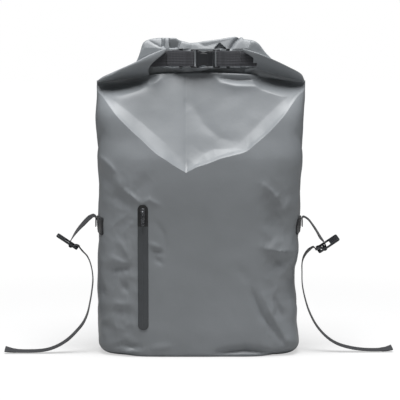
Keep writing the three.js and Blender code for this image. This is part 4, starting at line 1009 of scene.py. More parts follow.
def makeMouth():
    skin = rollRun()
    skin.name = "rolled_mouth_skin"
    for part in (rollArm(-1), rollArm(1), rollLip()):
        unite(skin, part)
    mergedOutwards(skin, 0.02 * mm)
    points, normals = pointsOf(skin), normalsOf(skin)
    px, py = photoPlace(points)
    facing = smooth(1.6 * np.maximum(-normals[:, 1] * 0.8 + normals[:, 2] * 0.6, 0))
    high = smooth((points[:, 2] - mouth["calmBelow"]) / (6 * mm))
    push = foldHeight(px, py, mouthFolds) * facing
    push += cloud(points, mouth["waveSize"], 5.5) * mouth["wave"] * high
    movePoints(skin, points + normals * (push * high)[:, None])
    return rideAs(sharpEdges(skin, 62), "cloth", "bag", "rolled_mouth")


mouthSkin = makeMouth()
print("rolled mouth:", len(mouthSkin.data.polygons), "faces")


# Seats on the finished skin, found by casting rays at it

def treeOf(piece):
    return BVHTree.FromPolygons(pointsOf(piece).tolist(), [tuple(f.vertices) for f in piece.data.polygons])


skinTree = treeOf(bagSkin)
farAway = 0.4


def seatFrom(start, way):
    return np.array(skinTree.ray_cast(Vector(start), Vector(way))[0])


def frontSeat(x, z):
    return seatFrom((x, -farAway, z), (0, 1, 0))


def backSeat(x, z):
    return seatFrom((x, farAway, z), (0, -1, 0))


def sideSeat(side, y, z):
    return seatFrom((side * farAway, y, z), (-side, 0, 0))


# Patches lie on the skin: place gives the skin's point under (u, v), out the way off it

def patchObject(name, place, out, size):
    width, height, corner = size["width"], size["height"], size["corner"]
    a = np.linspace(-1, 1, size["across"])
    b = np.linspace(-1, 1, size["up"])
    a, b = (0.6 * t + 0.4 * np.sin(t * np.pi / 2) for t in (a, b))
    v = np.repeat(b * height / 2, len(a))
    over = np.maximum(0, np.abs(v) - (height / 2 - corner))
    half = width / 2 - corner + np.sqrt(np.maximum(0, corner ** 2 - over ** 2))
    u = np.tile(a, len(b)) * half
    edge = np.minimum(half - np.abs(u), height / 2 - np.abs(v))
    bevel = size.get("bevel", size["thickness"])
    rise = size["thickness"] * np.sqrt(np.maximum(0, 1 - (1 - np.minimum(edge / bevel, 1)) ** 2))
    if "groove" in size:
        inside = smooth((height / 2 - np.abs(v) - width * 0.3) / (2 * mm))
        rise = rise - size["groove"] * np.exp(-(u / (0.45 * mm)) ** 2) * inside
    base = np.array([place(x, z) for x, z in zip(u, v)]) + out * seamGap
    points = np.vstack([base + rise[:, None] * out, base])
    faces, count, under = [], len(a), len(base)
    for r in range(len(b) - 1):
        for i in range(count - 1):
            k = r * count + i
            faces += [(k, k + 1, k + count + 1, k + count),
                      (k + under, k + under + count, k + under + count + 1, k + under + 1)]
    flat = np.tile(np.stack([v, u], -1), (2, 1))
    return mergedOutwards(makeObject(name, points, faces, flat))


def evenly(points, step, closed=True):  # points a step apart along a line
    line = np.array([*points, points[0]] if closed else points, float)
    lengths = lengthsAlong(line)
    at = np.linspace(0, lengths[-1], max(2, int(lengths[-1] / step)), endpoint=not closed)
    return sampled(at, lengths, line)


def borderPath(place, out, size, inset):
    half, tall = size["width"] / 2 - inset, size["height"] / 2 - inset
    corner = max(size["corner"] - inset, 0.6 * mm)
    line = evenly(roundedBox(-half, half, -tall, tall, corner), 1.2 * mm)
    return np.array([place(u, v) for u, v in line]) + out * (seamGap + size["thickness"])


# Straps follow a route; the across vectors say which way their width lies

def ribbonObject(name, route, across, size):
    lengths = lengthsAlong(route)
    way = unitRows(np.gradient(route, lengths, axis=0))
    wide = unitRows(across - (across * way).sum(1)[:, None] * way)
    out = np.cross(way, wide)
    u = np.linspace(-1, 1, 8 * size["ribs"] + 9)
    a = 0.8 * u + 0.2 * np.sin(u * np.pi / 2)
    edge = np.sqrt(np.maximum(0, 1 - np.abs(a) ** 12))
    rib = size["rise"] * np.cos(a * np.pi * size["ribs"]) * edge
    ringA = np.concatenate([a, a[-2:0:-1]])
    ringB = np.concatenate([edge, -edge[-2:0:-1]]) * size["thickness"] / 2
    ringRib = np.concatenate([rib, -rib[-2:0:-1]])
    begin = size["startCut"](ringA) if "startCut" in size else np.zeros_like(ringA)
    end = lengths[-1] - (size["endCut"](ringA) if "endCut" in size else np.zeros_like(ringA))
    rings = max(3, int(lengths[-1] / size["step"]))
    s = begin + np.linspace(0, 1, rings)[:, None] * (end - begin)
    hem = 1 + 0.9 * smooth((s - end + size.get("hem", 0)) / (0.8 * mm)) * ("hem" in size)
    width = ringA * size["width"] / 2
    points = sampled(s, lengths, route) + sampled(s, lengths, wide) * width[None, :, None]
    points += sampled(s, lengths, out) * (ringB * hem + ringRib)[..., None]
    return loftObject(name, points, np.stack([s, np.broadcast_to(width, s.shape)], -1))


def roundedCut(width, corner):  # how much is trimmed off a strap's end across its width
    def cut(a):
        over = np.clip(np.abs(a) * width / 2 - (width / 2 - corner), 0, corner)
        return corner - np.sqrt(np.maximum(0, corner ** 2 - over ** 2))
    return cut


def turned(vector, axis, degrees):
    t = math.radians(degrees)
    axis = axis / np.linalg.norm(axis)
    return (vector * math.cos(t) + np.cross(axis, vector) * math.sin(t)
            + axis * (axis @ vector) * (1 - math.cos(t)))


# Rows of stitches, made by Geometry Nodes along paths

def stitchTree():
    tree = bpy.data.node_groups.new("stitchRow", "GeometryNodeTree")
    kinds = {"Path": "Geometry", "Pitch": "Float", "Length": "Float", "Thickness": "Float", "Seed": "Int",
             "Thread": "Material"}
    for name, kind in kinds.items():
        tree.interface.new_socket(name=name, in_out="INPUT", socket_type="NodeSocket" + kind)
    tree.interface.new_socket(name="Stitches", in_out="OUTPUT", socket_type="NodeSocketGeometry")
    given = tree.nodes.new("NodeGroupInput").outputs

    def node(kind, settings=None, values=None):
        made = tree.nodes.new(kind)
        for key, value in (settings or {}).items():
            setattr(made, key, value)
        for key, value in (values or {}).items():
            if isinstance(value, bpy.types.NodeSocket):
                tree.links.new(value, made.inputs[key])
            else:
                made.inputs[key].default_value = value
        return made.outputs[0]

    curve = node("GeometryNodeMeshToCurve", None, {"Mesh": given["Path"]})
    places = node("GeometryNodeResampleCurve", {"mode": "LENGTH"}, {"Curve": curve, "Length": given["Pitch"]})
    grain = node("GeometryNodeMeshUVSphere", None, {"Segments": 8, "Rings": 5, "Radius": 0.5})
    along = node("FunctionNodeAlignRotationToVector", {"axis": "Z"},
                 {"Vector": node("GeometryNodeInputTangent")})
    wobble = node("FunctionNodeRandomValue", {"data_type": "FLOAT_VECTOR"},
                  {"Min": (-0.09, -0.09, 0.0), "Max": (0.09, 0.09, 0.0), "Seed": given["Seed"]})
    turn = node("FunctionNodeEulerToRotation", None, {"Euler": wobble})
    spun = node("FunctionNodeRotateRotation", {"rotation_space": "LOCAL"},
                {"Rotation": along, "Rotate By": turn})
    wide = given["Thickness"]
    size = node("ShaderNodeCombineXYZ", None, {"X": wide, "Y": wide, "Z": given["Length"]})
    sewn = node("GeometryNodeInstanceOnPoints", None,
                {"Points": places, "Instance": grain, "Rotation": spun, "Scale": size})
    solid = node("GeometryNodeRealizeInstances", None, {"Geometry": sewn})
    rounded = node("GeometryNodeSetShadeSmooth", None, {"Geometry": solid})
    done = node("GeometryNodeSetMaterial", None, {"Geometry": rounded, "Material": given["Thread"]})
    tree.links.new(done, tree.nodes.new("NodeGroupOutput").inputs["Stitches"])
    return tree


stitches = stitchTree()


def stitchRows(name, paths, closed=True, pitch=2.7 * mm, length=2.1 * mm, thickness=0.55 * mm, seed=1):
    points, edges = [], []
    for path in paths:
        first = len(points)
        points += [tuple(p) for p in path]
        edges += [(first + i, first + i + 1) for i in range(len(path) - 1)]
        if closed:
            edges.append((len(points) - 1, first))
    mesh = bpy.data.meshes.new(name)
    mesh.from_pydata(points, edges, [])
    rows = linked(name, mesh)
    modifier = rows.modifiers.new("stitches", "NODES")
    modifier.node_group = stitches
    values = {"Pitch": pitch, "Length": length, "Thickness": thickness, "Seed": seed,
              "Thread": finishes["thread"]}
    for item in stitches.interface.items_tree:
        if item.in_out == "INPUT" and item.name in values:
            modifier[item.identifier] = values[item.name]
    applied(rows)
    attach(rows, "bag")


# The closure: webbing out of the arms, round the buckle's bars and back over itself

closure = {
    "middle": 438.6 * mm, "webbing": 23 * mm, "thickness": 1.5 * mm, "front": -33 * mm,
    "buckleLeft": -5.4 * mm, "buckleLength": 24 * mm, "buckleThickness": 9 * mm, "bar": 3.2 * mm,
    "barDeep": 2.4 * mm, "slot": 4.4 * mm, "femaleWall": 1.4 * mm, "maleWall": 2.6 * mm, "rail": 1.6 * mm,
    "spare": 0.5 * mm, "panelEnd": {-1: -50 * mm, 1: 59.5 * mm}, "webbingStart": 105 * mm, "intoArm": 6 * mm,
    "arcSteps": 12, "notchFrom": 5 * mm, "notchTo": 15 * mm, "notchDepth": 1.7 * mm,
    "browFrom": 4.2 * mm, "browTo": 16.2 * mm, "browHeight": 15.2 * mm,
    "grips": 3, "gripFrom": 18.6 * mm, "gripPitch": 1.5 * mm, "gripWidth": 0.8 * mm,
    "keeperWidth": 5 * mm, "keeperThickness": 1.6 * mm, "keeperReach": 3.3 * mm,
    "keeperFromFemaleBar": 16 * mm, "keeperFromMaleBar": 13.5 * mm,
}
closureLow = closure["middle"] - closure["webbing"] / 2
closureTop = closure["middle"] + closure["webbing"] / 2
buckleRight = closure["buckleLeft"] + closure["buckleLength"]
femaleBar = closure["buckleLeft"] - closure["femaleWall"] - closure["slot"] - closure["bar"] / 2
maleBar = buckleRight + closure["maleWall"] + closure["slot"] + closure["bar"] / 2
barDepth = closure["front"] + closure["buckleThickness"] / 2 - 3.4 * mm
turnRadius = math.hypot(closure["bar"], closure["barDeep"]) / 2 + seamGap + closure["thickness"] / 2


def closureWebbing(side, bar):
    inwards, panelEnd, word = -side, closure["panelEnd"][side], handOf[side]
    start = side * closure["webbingStart"]
    route = [(x, barDepth + turnRadius) for x in np.linspace(start, bar, 40)]
    for k in range(1, closure["arcSteps"]):
        turn = math.pi * k / closure["arcSteps"]
        route.append((bar + inwards * turnRadius * math.sin(turn), barDepth + turnRadius * math.cos(turn)))
    lie = barDepth + turnRadius - closure["thickness"] - seamGap
    route += [(bar, barDepth - turnRadius), (bar - inwards * 3 * mm, barDepth - turnRadius + 0.5 * mm)]
    route += [(x, lie) for x in np.linspace(bar - inwards * 8 * mm, panelEnd, 24)]
    route = np.array([(x, y, closure["middle"]) for x, y in route])
    route[:, 2] += 0.25 * mm * np.sin(route[:, 0] / (9 * mm))

    def startCut(a):
        up = (closure["middle"] + a * closure["webbing"] / 2 - body["shoulder"]) / mouth["height"]
        edge = lookUp(armEnds[side], "up", "across", up) * body["width"] / 2
        return np.abs(edge - start) - closure["intoArm"]

    size = {"width": closure["webbing"], "thickness": closure["thickness"], "ribs": 6, "rise": 0.11 * mm,
            "step": 0.9 * mm, "startCut": startCut, "endCut": roundedCut(closure["webbing"], 3.2 * mm)}
    strap = ribbonObject(f"closure_webbing_{word}_woven", route, np.tile((0, 0, 1.0), (len(route), 1)), size)
    rideAs(strap, "closureWebbing", "bag", f"closure_webbing_{word}")
    near = lie - closure["thickness"] / 2 - 0.1 * mm
    heights = np.linspace(closureLow + 2 * mm, closureTop - 2 * mm, 20)
    rows = [[(panelEnd - side * inset, near, z) for z in heights] for inset in (3.2 * mm, 6.4 * mm)]
    stitchRows(f"closure_stitches_{word}", rows, False, 2.2 * mm, 1.7 * mm, 0.42 * mm, 3)


def flatToFront(depth):
    return lambda x, z, high: (x, depth - high, z)


def barSlot(left, right):
    low, top = closureLow - closure["spare"], closureTop + closure["spare"]
    return roundedBox(left, right, low, top, 0.5 * mm, 3)


def barFrame(name, left, right, slot):
    over = closure["spare"] + closure["rail"]
    outline = roundedBox(left, right, closureLow - over, closureTop + over, 1.4 * mm)
    return plateObject(name, outline, [slot], closure["barDeep"], 0.5 * mm, flatToFront(barDepth))


def femaleBuckle(bar, middle, thick):
    left, face = closure["buckleLeft"], middle - thick / 2
    notch = {"begin": left + closure["notchFrom"], "end": left + closure["notchTo"],
             "depth": closure["notchDepth"]}
    block = roundedBox(left, buckleRight - seamGap, closureLow, closureTop, 1.8 * mm, 6, notch)
    female = plateObject("closure_buckle_female_moulded", block, [], thick, 1.1 * mm, flatToFront(middle))
    slot = barSlot(femaleBar + bar, left - closure["femaleWall"])
    low, top = (closure["middle"] + end * closure["browHeight"] / 2 for end in (-1, 1))
    brow = roundedBox(left + closure["browFrom"], left + closure["browTo"], low, top, 2.4 * mm)
    parts = [
        barFrame("femaleFrame", femaleBar - bar, left + 3 * mm, slot),
        plateObject("femaleBrow", brow, [], 1.6 * mm, 0.6 * mm, flatToFront(face + 0.35 * mm)),
    ]
    for k in range(closure["grips"]):
        x = left + closure["gripFrom"] + k * closure["gripPitch"]
        grip = roundedBox(x, x + closure["gripWidth"], closureLow + 3 * mm, closureTop - 3 * mm, 0.35 * mm, 3)
        parts.append(plateObject("femaleGrip", grip, [], 1.2 * mm, 0.35 * mm, flatToFront(face + 0.15 * mm)))
    rideAs(joinPieces(female, *parts), "plastic", "bag", "closure_buckle_female")


def maleBuckle(bar, middle, thick):
    slot = barSlot(buckleRight + closure["maleWall"], maleBar - bar)
    male = barFrame("closure_buckle_male_moulded", buckleRight, maleBar + bar, slot)
    low, top = closureLow + 1 * mm, closureTop - 1 * mm
    collar = roundedBox(buckleRight, buckleRight + closure["maleWall"], low, top, 0.9 * mm)
    shoulder = plateObject("maleCollar", collar, [], thick - 2 * mm, 0.8 * mm, flatToFront(middle))
    rideAs(joinPieces(male, shoulder), "plastic", "bag", "closure_buckle_male")


def closureKeeper(word, x):
    thick, half, reach = closure["keeperThickness"], closure["keeperWidth"] / 2, closure["keeperReach"]
    behind = barDepth + turnRadius + closure["thickness"] / 2 + seamGap + thick / 2
    outline = roundedBox(x - half, x + half, closureLow - reach, closureTop + reach, 1.2 * mm)
    keeper = plateObject(f"keeper_{word}_moulded", outline, [], thick, 0.5 * mm, flatToFront(behind))
    rideAs(keeper, "plastic", "bag", f"keeper_{word}")


closureWebbing(-1, femaleBar)
closureWebbing(1, maleBar)
for makeHalf in (femaleBuckle, maleBuckle):
    makeHalf(closure["bar"] / 2, closure["front"], closure["buckleThickness"])
closureKeeper("left", femaleBar - closure["keeperFromFemaleBar"])
closureKeeper("right", maleBar + closure["keeperFromMaleBar"])
print("closure made")


# The zip: a strip with round ends on the front, its slider with an arch, and the hanging puller

zipSize = {
    "fromMiddle": 84.2 * mm, "width": 15.4 * mm, "height": 186 * mm, "top": 226.3 * mm, "thickness": 1.1 * mm,
    "corner": 7.69 * mm, "across": 27, "up": 190, "bevel": 0.9 * mm, "groove": 0.5 * mm,
    "sliderWidth": 7.4 * mm, "sliderThickness": 2.6 * mm, "sliderWaist": 0.72, "shoulderRound": 2.6 * mm,
    "waistRound": 1.6 * mm, "archWidth": 2.6 * mm, "archThickness": 0.9 * mm, "archHalf": 4 * mm,
    "pullWidth": 6.2 * mm, "pullThickness": 1.3 * mm, "tipRound": 2.0 * mm, "holeRadius": 1.1 * mm,
    "holeUp": 3.2 * mm, "clearance": 0.45 * mm,
}


def makeStrip():
    middle = zipSize["top"] - zipSize["height"] / 2
    outwards = np.array([0, -1.0, 0])

    def place(u, v):
        return frontSeat(u - zipSize["fromMiddle"], v + middle)

    rideAs(patchObject("zip_strip", place, outwards, zipSize), "zip", "bag", "zip_tape")


def makeSlider(x, pinZ):
    (unused, front, low), (unused, seat, top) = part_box("zip_slider")
    thick, half = zipSize["sliderThickness"], zipSize["sliderWidth"] / 2
    wide, small = zipSize["shoulderRound"], zipSize["waistRound"]
    outline = arcOf(x, top - wide, half, wide, 0, 1, 12)
    outline += arcOf(x, low + small, half * zipSize["sliderWaist"], small, 1, 2, 12)
    slider = plateObject("zip_slider_cast", outline, [], thick, 0.7 * mm, flatToFront(seat - thick / 2))
    crown, foot = front + zipSize["archThickness"] / 2, seat - thick + 0.3 * mm
    reach, knee = zipSize["archHalf"] - zipSize["archThickness"] / 2, mix(foot, crown, 0.6)
    upper = [(foot, reach), (knee, reach * 0.98), (crown, reach * 0.6)]
    lower = [(y, -up) for y, up in upper[::-1]]
    route = smoothRoute([(x, y, pinZ + up) for y, up in upper + lower], 30)
    band = {"width": zipSize["archWidth"], "thickness": zipSize["archThickness"], "ribs": 0, "rise": 0,
            "step": 0.4 * mm}
    arch = ribbonObject("sliderArch", route, np.tile((1.0, 0, 0), (len(route), 1)), band)
    rideAs(joinPieces(slider, arch), "metal", "bag", "zip_slider")


def makePull(x, pinY, pinZ, low):
    bar, wide, tip = zipSize["pullThickness"] / 2, zipSize["pullWidth"] / 2, zipSize["tipRound"]
    window, hole = zipSize["archWidth"] / 2 + zipSize["clearance"], zipSize["holeRadius"]
    frameLow = pinZ - zipSize["archHalf"] - 1 * mm
    flank = [(wide, pinZ + bar - 1 * mm), (wide * 0.92, frameLow - 2 * mm), (wide * 0.80, low + 2.4 * mm)]
    outline = [(x - out, z) for out, z in flank] + arcOf(x, low + tip, wide * 0.80, tip, 1, 2, 11)
    outline += [(x + out, z) for out, z in flank[::-1]]
    outline += [(x + wide - 1 * mm, pinZ + bar), (x - wide + 1 * mm, pinZ + bar)]
    holes = [roundedBox(x - window, x + window, frameLow, pinZ - bar, 0.5 * mm, 3),
             arcOf(x, low + zipSize["holeUp"], hole, hole, 0, 2, 14)[:-1]]
    pull = plateObject("zip_pull_cast", outline, holes, bar * 2, 0.35 * mm, flatToFront(pinY))
    rideAs(pull, "metal", "puller", "zip_pull")


def makeZip():  # the slider and the puller sit where the solids have them, for the hinge
    x, pullBox = -zipSize["fromMiddle"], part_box("zip_pull")
    pinY = (pullBox[0][1] + pullBox[1][1]) / 2
    pinZ = pullBox[1][2] - zipSize["pullThickness"] / 2
    makeStrip()
    makeSlider(x, pinZ)
    makePull(x, pinY, pinZ, pullBox[0][2])


makeZip()
print("zip made")


# Side straps: up the patch, over and out to a ladder buckle, round its bar and down to the free end

sideStraps = {
    "patchTop": 205.4 * mm, "height": 27 * mm, "corner": 3 * mm, "thickness": 1.4 * mm, "bevel": 0.9 * mm,
    "widths": {-1: 38 * mm, 1: 32 * mm}, "middles": {-1: -34 * mm, 1: -31 * mm}, "across": 16, "up": 16,
    "webbing": 15 * mm, "webbingThickness": 1.2 * mm, "fromMiddle": -28 * mm, "buckleY": -32 * mm,
    "tailY": {-1: -40 * mm, 1: -26 * mm}, "tilt": 34, "roll": {-1: 2, 1: 17}, "bar": 3.4 * mm, "rim": 3 * mm,
    "reach": {-1: 294 * mm, 1: 289 * mm}, "barOut": {-1: 0.262, 1: 0.232},
    "barHeight": {-1: 162.9 * mm, 1: 159.6 * mm}, "buckleLength": 37 * mm, "buckleThickness": 3.2 * mm,
    "behindBar": 9.4 * mm, "slot": 4.2 * mm, "window": 9 * mm,
    "teeth": 4, "toothFrom": 3.2 * mm, "toothPitch": 2.3 * mm, "toothWidth": 1.2 * mm, "toothRise": 1.1 * mm,
}
strapRows = {  # places in pixels of the photo and the turn about the way, in degrees
    -1: table(
        "across up turn",
        (98, 226, 0), (98, 221.5, 0), (96.8, 216.8, 3), (93.6, 215.4, 14), (89.5, 217.6, 24), (84, 223, 24),
        (76.5, 231.5, 14)),
    1: table(
        "across up turn",
        (299.5, 226, 0), (299.5, 221.5, 0), (300.8, 217.6, 2), (303.5, 216.6, 4), (308, 219, 7),
        (312.6, 224.8, 9), (316.8, 231.2, 11), (320.4, 237.5, 14)),
}
tailRows = {
    -1: table(
        "across up turn",
        (78, 245, 12), (82.3, 250.8, 14), (86.8, 255.5, 12), (90, 262, 10), (92.2, 271, 8), (92.9, 280, 8),
        (91.8, 291, 8), (89.8, 303, 8), (87.2, 314, 10), (83, 323, 12), (76.5, 331, 12), (68.5, 338.8, 12),
        (60, 344.5, 10), (51, 348.4, 9), (42, 350.3, 8), (25, 351, 8), (13, 350.4, 10), (5, 348.9, 22)),
    1: table(
        "across up turn",
        (313.6, 246.8, 16), (309, 249.6, 24), (304.6, 255.2, 18), (302.2, 262.5, 8), (301.5, 272, 6),
        (302.3, 284, 6), (305, 298, 7), (309.5, 312, 8), (317, 326, 8), (327, 337, 8), (337, 343.4, 8),
        (350, 347.4, 8), (365, 349.4, 7), (378, 349.6, 8), (386, 348.9, 12), (392, 347.2, 20)),
}


def sidePatch(side):  # sews the patch on, and gives how far out the strap over it lies
    word, outwards = handOf[side], np.array([side * 1.0, 0, 0])
    size = {**sideStraps, "width": sideStraps["widths"][side]}
    middle, patchY = size["patchTop"] - size["height"] / 2, sideStraps["middles"][side]

    def place(u, v):
        return sideSeat(side, patchY + u, middle + v)

    patch = patchObject(f"side_patch_{word}_sewn", place, outwards, size)
    rideAs(patch, "patch", "bag", f"side_patch_{word}")
    stitchRows(f"side_patch_stitches_{word}", [borderPath(place, outwards, size, 2.2 * mm)], seed=5)
    half, tall, shift = size["webbing"] / 2, size["height"] / 2, size["fromMiddle"] - patchY
    seats = [abs(place(u + shift, v)[0]) for u in (-half, 0, half) for v in (-tall, 0, tall)]
    return max(seats) + 2 * seamGap + size["thickness"] + size["webbingThickness"] / 2


def strapStops(side, rows, face, fromY, toY):
    stops = []
    for i, row in enumerate(rows):
        y = mix(fromY, toY, i / (len(rows) - 1))
        x, z = placeOf(row["across"], row["up"], y)
        low = 0.9 * mm + sideStraps["webbing"] / 2 * math.sin(math.radians(row["turn"]))
        stops.append((side * max(face, side * x), y, max(z, low)))
    return stops


def ladderBuckle(word, ladder):  # ladder gives the point at x along, y across and h above the bar's middle
    size = sideStraps
    half, bar, rim = size["webbing"] / 2, size["bar"] / 2, size["rim"]
    near = -bar - size["behindBar"]
    far = near + size["buckleLength"]
    holes = [roundedBox(-bar - size["slot"], -bar, -half - 0.6 * mm, half + 0.6 * mm, 0.8 * mm, 3),
             roundedBox(bar, bar + size["window"], -half - 1 * mm, half + 1 * mm, 1.2 * mm, 3)]
    outline, thick = roundedBox(near, far, -half - rim, half + rim, 3.4 * mm), size["buckleThickness"]
    buckle = plateObject(f"side_buckle_{word}_moulded", outline, holes, thick, 0.9 * mm, ladder)
    teeth = []
    for k in range(size["teeth"]):
        x, wide = far - size["toothFrom"] - k * size["toothPitch"], size["toothWidth"] / 2
        tooth = roundedBox(x - wide, x + wide, -half, half, 0.5 * mm, 3)
        teeth.append(plateObject("tooth", tooth, [], thick + size["toothRise"], 0.4 * mm, ladder))
    rideAs(joinPieces(buckle, *teeth), "plastic", "bag", f"side_buckle_{word}")


def sideStrap(side):
    word, size, face = handOf[side], sideStraps, sidePatch(side)
    barX = side * mix(face, size["reach"][side], size["barOut"][side])
    tilt, roll = math.radians(size["tilt"]), math.radians(size["roll"][side])
    along = np.array([side * math.cos(tilt), 0, math.sin(tilt)])
    upright = np.array([-side * math.sin(tilt), 0, math.cos(tilt)])
    wide = np.array([0, math.cos(roll), 0]) + upright * math.sin(roll)
    high = upright * math.cos(roll) - np.array([0, math.sin(roll), 0])
    heart = np.array([barX, size["buckleY"], size["barHeight"][side]])
    r = size["bar"] / 2 + seamGap + 0.3 * mm + size["webbingThickness"] / 2
    turns = [(r + 1.2 * mm, 4.4 * mm), (r + 0.3 * mm, 1.2 * mm), (r * 0.75, -r), (0, -r * 1.35),
             (-r * 0.8, -r), (-r - 0.5 * mm, 0.8 * mm), (-r - 3.2 * mm, 3.2 * mm), (-r - 8.5 * mm, 4.4 * mm)]
    out, tail = strapRows[side], tailRows[side]
    stops = strapStops(side, out, face, size["fromMiddle"], size["buckleY"])
    stops += [heart + along * s + high * h for s, h in turns]
    stops += strapStops(side, tail, face, size["buckleY"], size["tailY"][side])
    spins = [row["turn"] for row in out] + [None] * len(turns) + [row["turn"] for row in tail]
    across = []
    for spin, way in zip(spins, np.gradient(np.array(stops), axis=0)):
        across.append(wide if spin is None else turned(np.array([0, 1.0, 0]), way, side * spin))
    route = smoothRoute(stops, 420)
    across = sampled(np.linspace(0, len(stops) - 1, len(route)), range(len(stops)), across)
    strap = ribbonObject(f"side_strap_{word}_woven", route, across, {
        "width": size["webbing"], "thickness": size["webbingThickness"], "ribs": 4, "rise": 0.08 * mm,
        "step": 1.5 * mm, "hem": 17 * mm, "endCut": roundedCut(size["webbing"], 0.8 * mm)})
    rideAs(strap, "sideWebbing", "bag", f"side_strap_{word}")
    ladderBuckle(word, lambda x, y, h: heart + along * x + wide * y + high * h)


for side in handOf:
    sideStrap(side)
print("side straps made")


# The back: yoke, grab loop, padded straps, adjusters, webbing and anchors, all plain

carry = {
    "padWidth": 60 * mm, "padThickness": 11 * mm, "padSpread": 46 * mm, "padStandOff": 40 * mm,
    "padEndHeight": 168 * mm, "padSplay": 35 * mm, "webbing": 20 * mm, "webbingThickness": 1.6 * mm,
    "adjusterHeight": 28 * mm, "adjusterThickness": 3.6 * mm, "adjusterSlot": 7 * mm, "adjusterGap": 2.4 * mm,
    "anchorHeight": 46 * mm, "anchorFromMiddle": 98 * mm, "cloth": 1.4 * mm,
    "grabWidth": 22 * mm, "grabSpan": 62 * mm, "grabRise": 22 * mm, "padRings": 110, "padPoints": 64,
}
yoke = {"middle": 372 * mm, "width": 168 * mm, "height": 32 * mm, "corner": 6 * mm, "thickness": 1.4 * mm,
        "across": 60, "up": 18, "bevel": 0.9 * mm}
anchor = {"width": 30 * mm, "height": 30 * mm, "corner": 2.5 * mm, "thickness": 1.4 * mm,
          "across": 16, "up": 16, "bevel": 0.9 * mm}
padRows = table(
    "splay down off",
    (0.34, 0.36, 0.98), (0.57, 0.62, 1.00), (0.86, 0.85, 0.86), (1.00, 1.00, 0.76),
)
backwards = np.array([0, 1.0, 0])


def yokeFace(x, z):
    return backSeat(x, z)[1] + 2 * seamGap + carry["cloth"]


def makeYoke():
    def place(u, v):
        return backSeat(u, v + yoke["middle"])

    rideAs(patchObject("strap_yoke_sewn", place, backwards, yoke), "sideWebbing", "bag", "strap_yoke")
    paths = [borderPath(place, backwards, yoke, inset) for inset in (2.4 * mm, 5.2 * mm)]
    stitchRows("yoke_stitches", paths, seed=7)
    z = yoke["middle"] + 2 * mm
    top, low = z + carry["grabWidth"] / 2, z - carry["grabWidth"] / 2
    stops, across = [], []
    for share in (-1, -0.8, -0.6, -0.3, 0, 0.3, 0.6, 0.8, 1):
        x = share * carry["grabSpan"] / 2
        rise = math.cos(share * math.pi / 1.6) if abs(share) < 0.8 else 0
        slope = yokeFace(x, top) - yokeFace(x, low)
        face = yokeFace(x, low) + slope / 2 + carry["webbingThickness"] / 2 + 1.2 * mm
        stops.append((x, face + carry["grabRise"] * rise, z))
        across.append((0, slope, carry["grabWidth"]))
    route = smoothRoute(stops, 90)
    wide = sampled(np.linspace(0, len(stops) - 1, len(route)), range(len(stops)), across)
    loop = ribbonObject("grab_loop_woven", route, wide, {
        "width": carry["grabWidth"], "thickness": carry["webbingThickness"], "ribs": 4, "rise": 0.1 * mm,
        "step": 1.4 * mm, "endCut": roundedCut(carry["grabWidth"], 1.5 * mm)})
    rideAs(loop, "closureWebbing", "bag", "grab_loop")


def padStops(side):
    top = yoke["middle"] - 6 * mm
    start = yokeFace(carry["padSpread"], top) + carry["padThickness"] / 2 + 1.5 * mm
    rest = backSeat(carry["padSpread"], carry["padEndHeight"])[1]
    stops = [(side * carry["padSpread"], start, top),
             (side * (carry["padSpread"] + 0.11 * carry["padSplay"]), start + 0.42 * carry["padStandOff"],
              mix(top, carry["padEndHeight"], 0.11))]
    for row in padRows:
        stops.append((side * (carry["padSpread"] + row["splay"] * carry["padSplay"]),
                      rest + row["off"] * carry["padStandOff"], mix(top, carry["padEndHeight"], row["down"])))
    return stops


def makePad(side):
    word = handOf[side]
    route = smoothRoute(padStops(side), carry["padRings"])
    way = unitRows(np.gradient(route, axis=0))
    across = unitRows(np.array([1.0, 0, 0]) - way[:, :1] * way)
    out = np.cross(way, across)
    share = np.linspace(0, 1, len(route))[:, None]
    ends = np.minimum(1, np.minimum(0.5 + 6 * share, 0.5 + 6 * (1 - share)))
    width = carry["padWidth"] * mix(0.86, 1, np.sin(np.pi * share)) * np.minimum(1, 0.72 + 4 * (1 - share))
    turn = np.linspace(0, 2 * np.pi, carry["padPoints"], endpoint=False)[None, :]
    away = squareToRound(np.cos(turn), np.sin(turn), 3)
    a, b = np.cos(turn) * away, np.sin(turn) * away
    channel = 1 - 0.52 * np.exp(-((np.abs(a) - 0.84) / 0.055) ** 2)  # sewn channel inside the bound edge
    quilt = 1 - 0.34 * np.exp(-((share * 5.0) % 1 - 0.5) ** 2 / 0.0035) * smooth((0.8 - np.abs(a)) / 0.15)
    crown = 0.92 + 0.12 * np.sqrt(np.maximum(0, 1 - a ** 2))
    thick = carry["padThickness"] * ends * channel * quilt * crown
    rings = route[:, None] + across[:, None] * (a * width / 2)[..., None]
    pad = loftObject(f"shoulder_strap_{word}_padded", rings + out[:, None] * (b * thick / 2)[..., None])
    rideAs(pad, "padding", "bag", f"shoulder_strap_{word}")
    rows = []
    for edge in (-1, 1):
        for face in (-1, 1):
            off = edge * 0.84 * width[4:-4] / 2
            lift = face * carry["padThickness"] * ends[4:-4] * 0.27
            rows.append(route[4:-4] + across[4:-4] * off + out[4:-4] * lift)
    stitchRows(f"pad_stitches_{word}", rows, False, 3.4 * mm, 2.5 * mm, 0.7 * mm, 11)


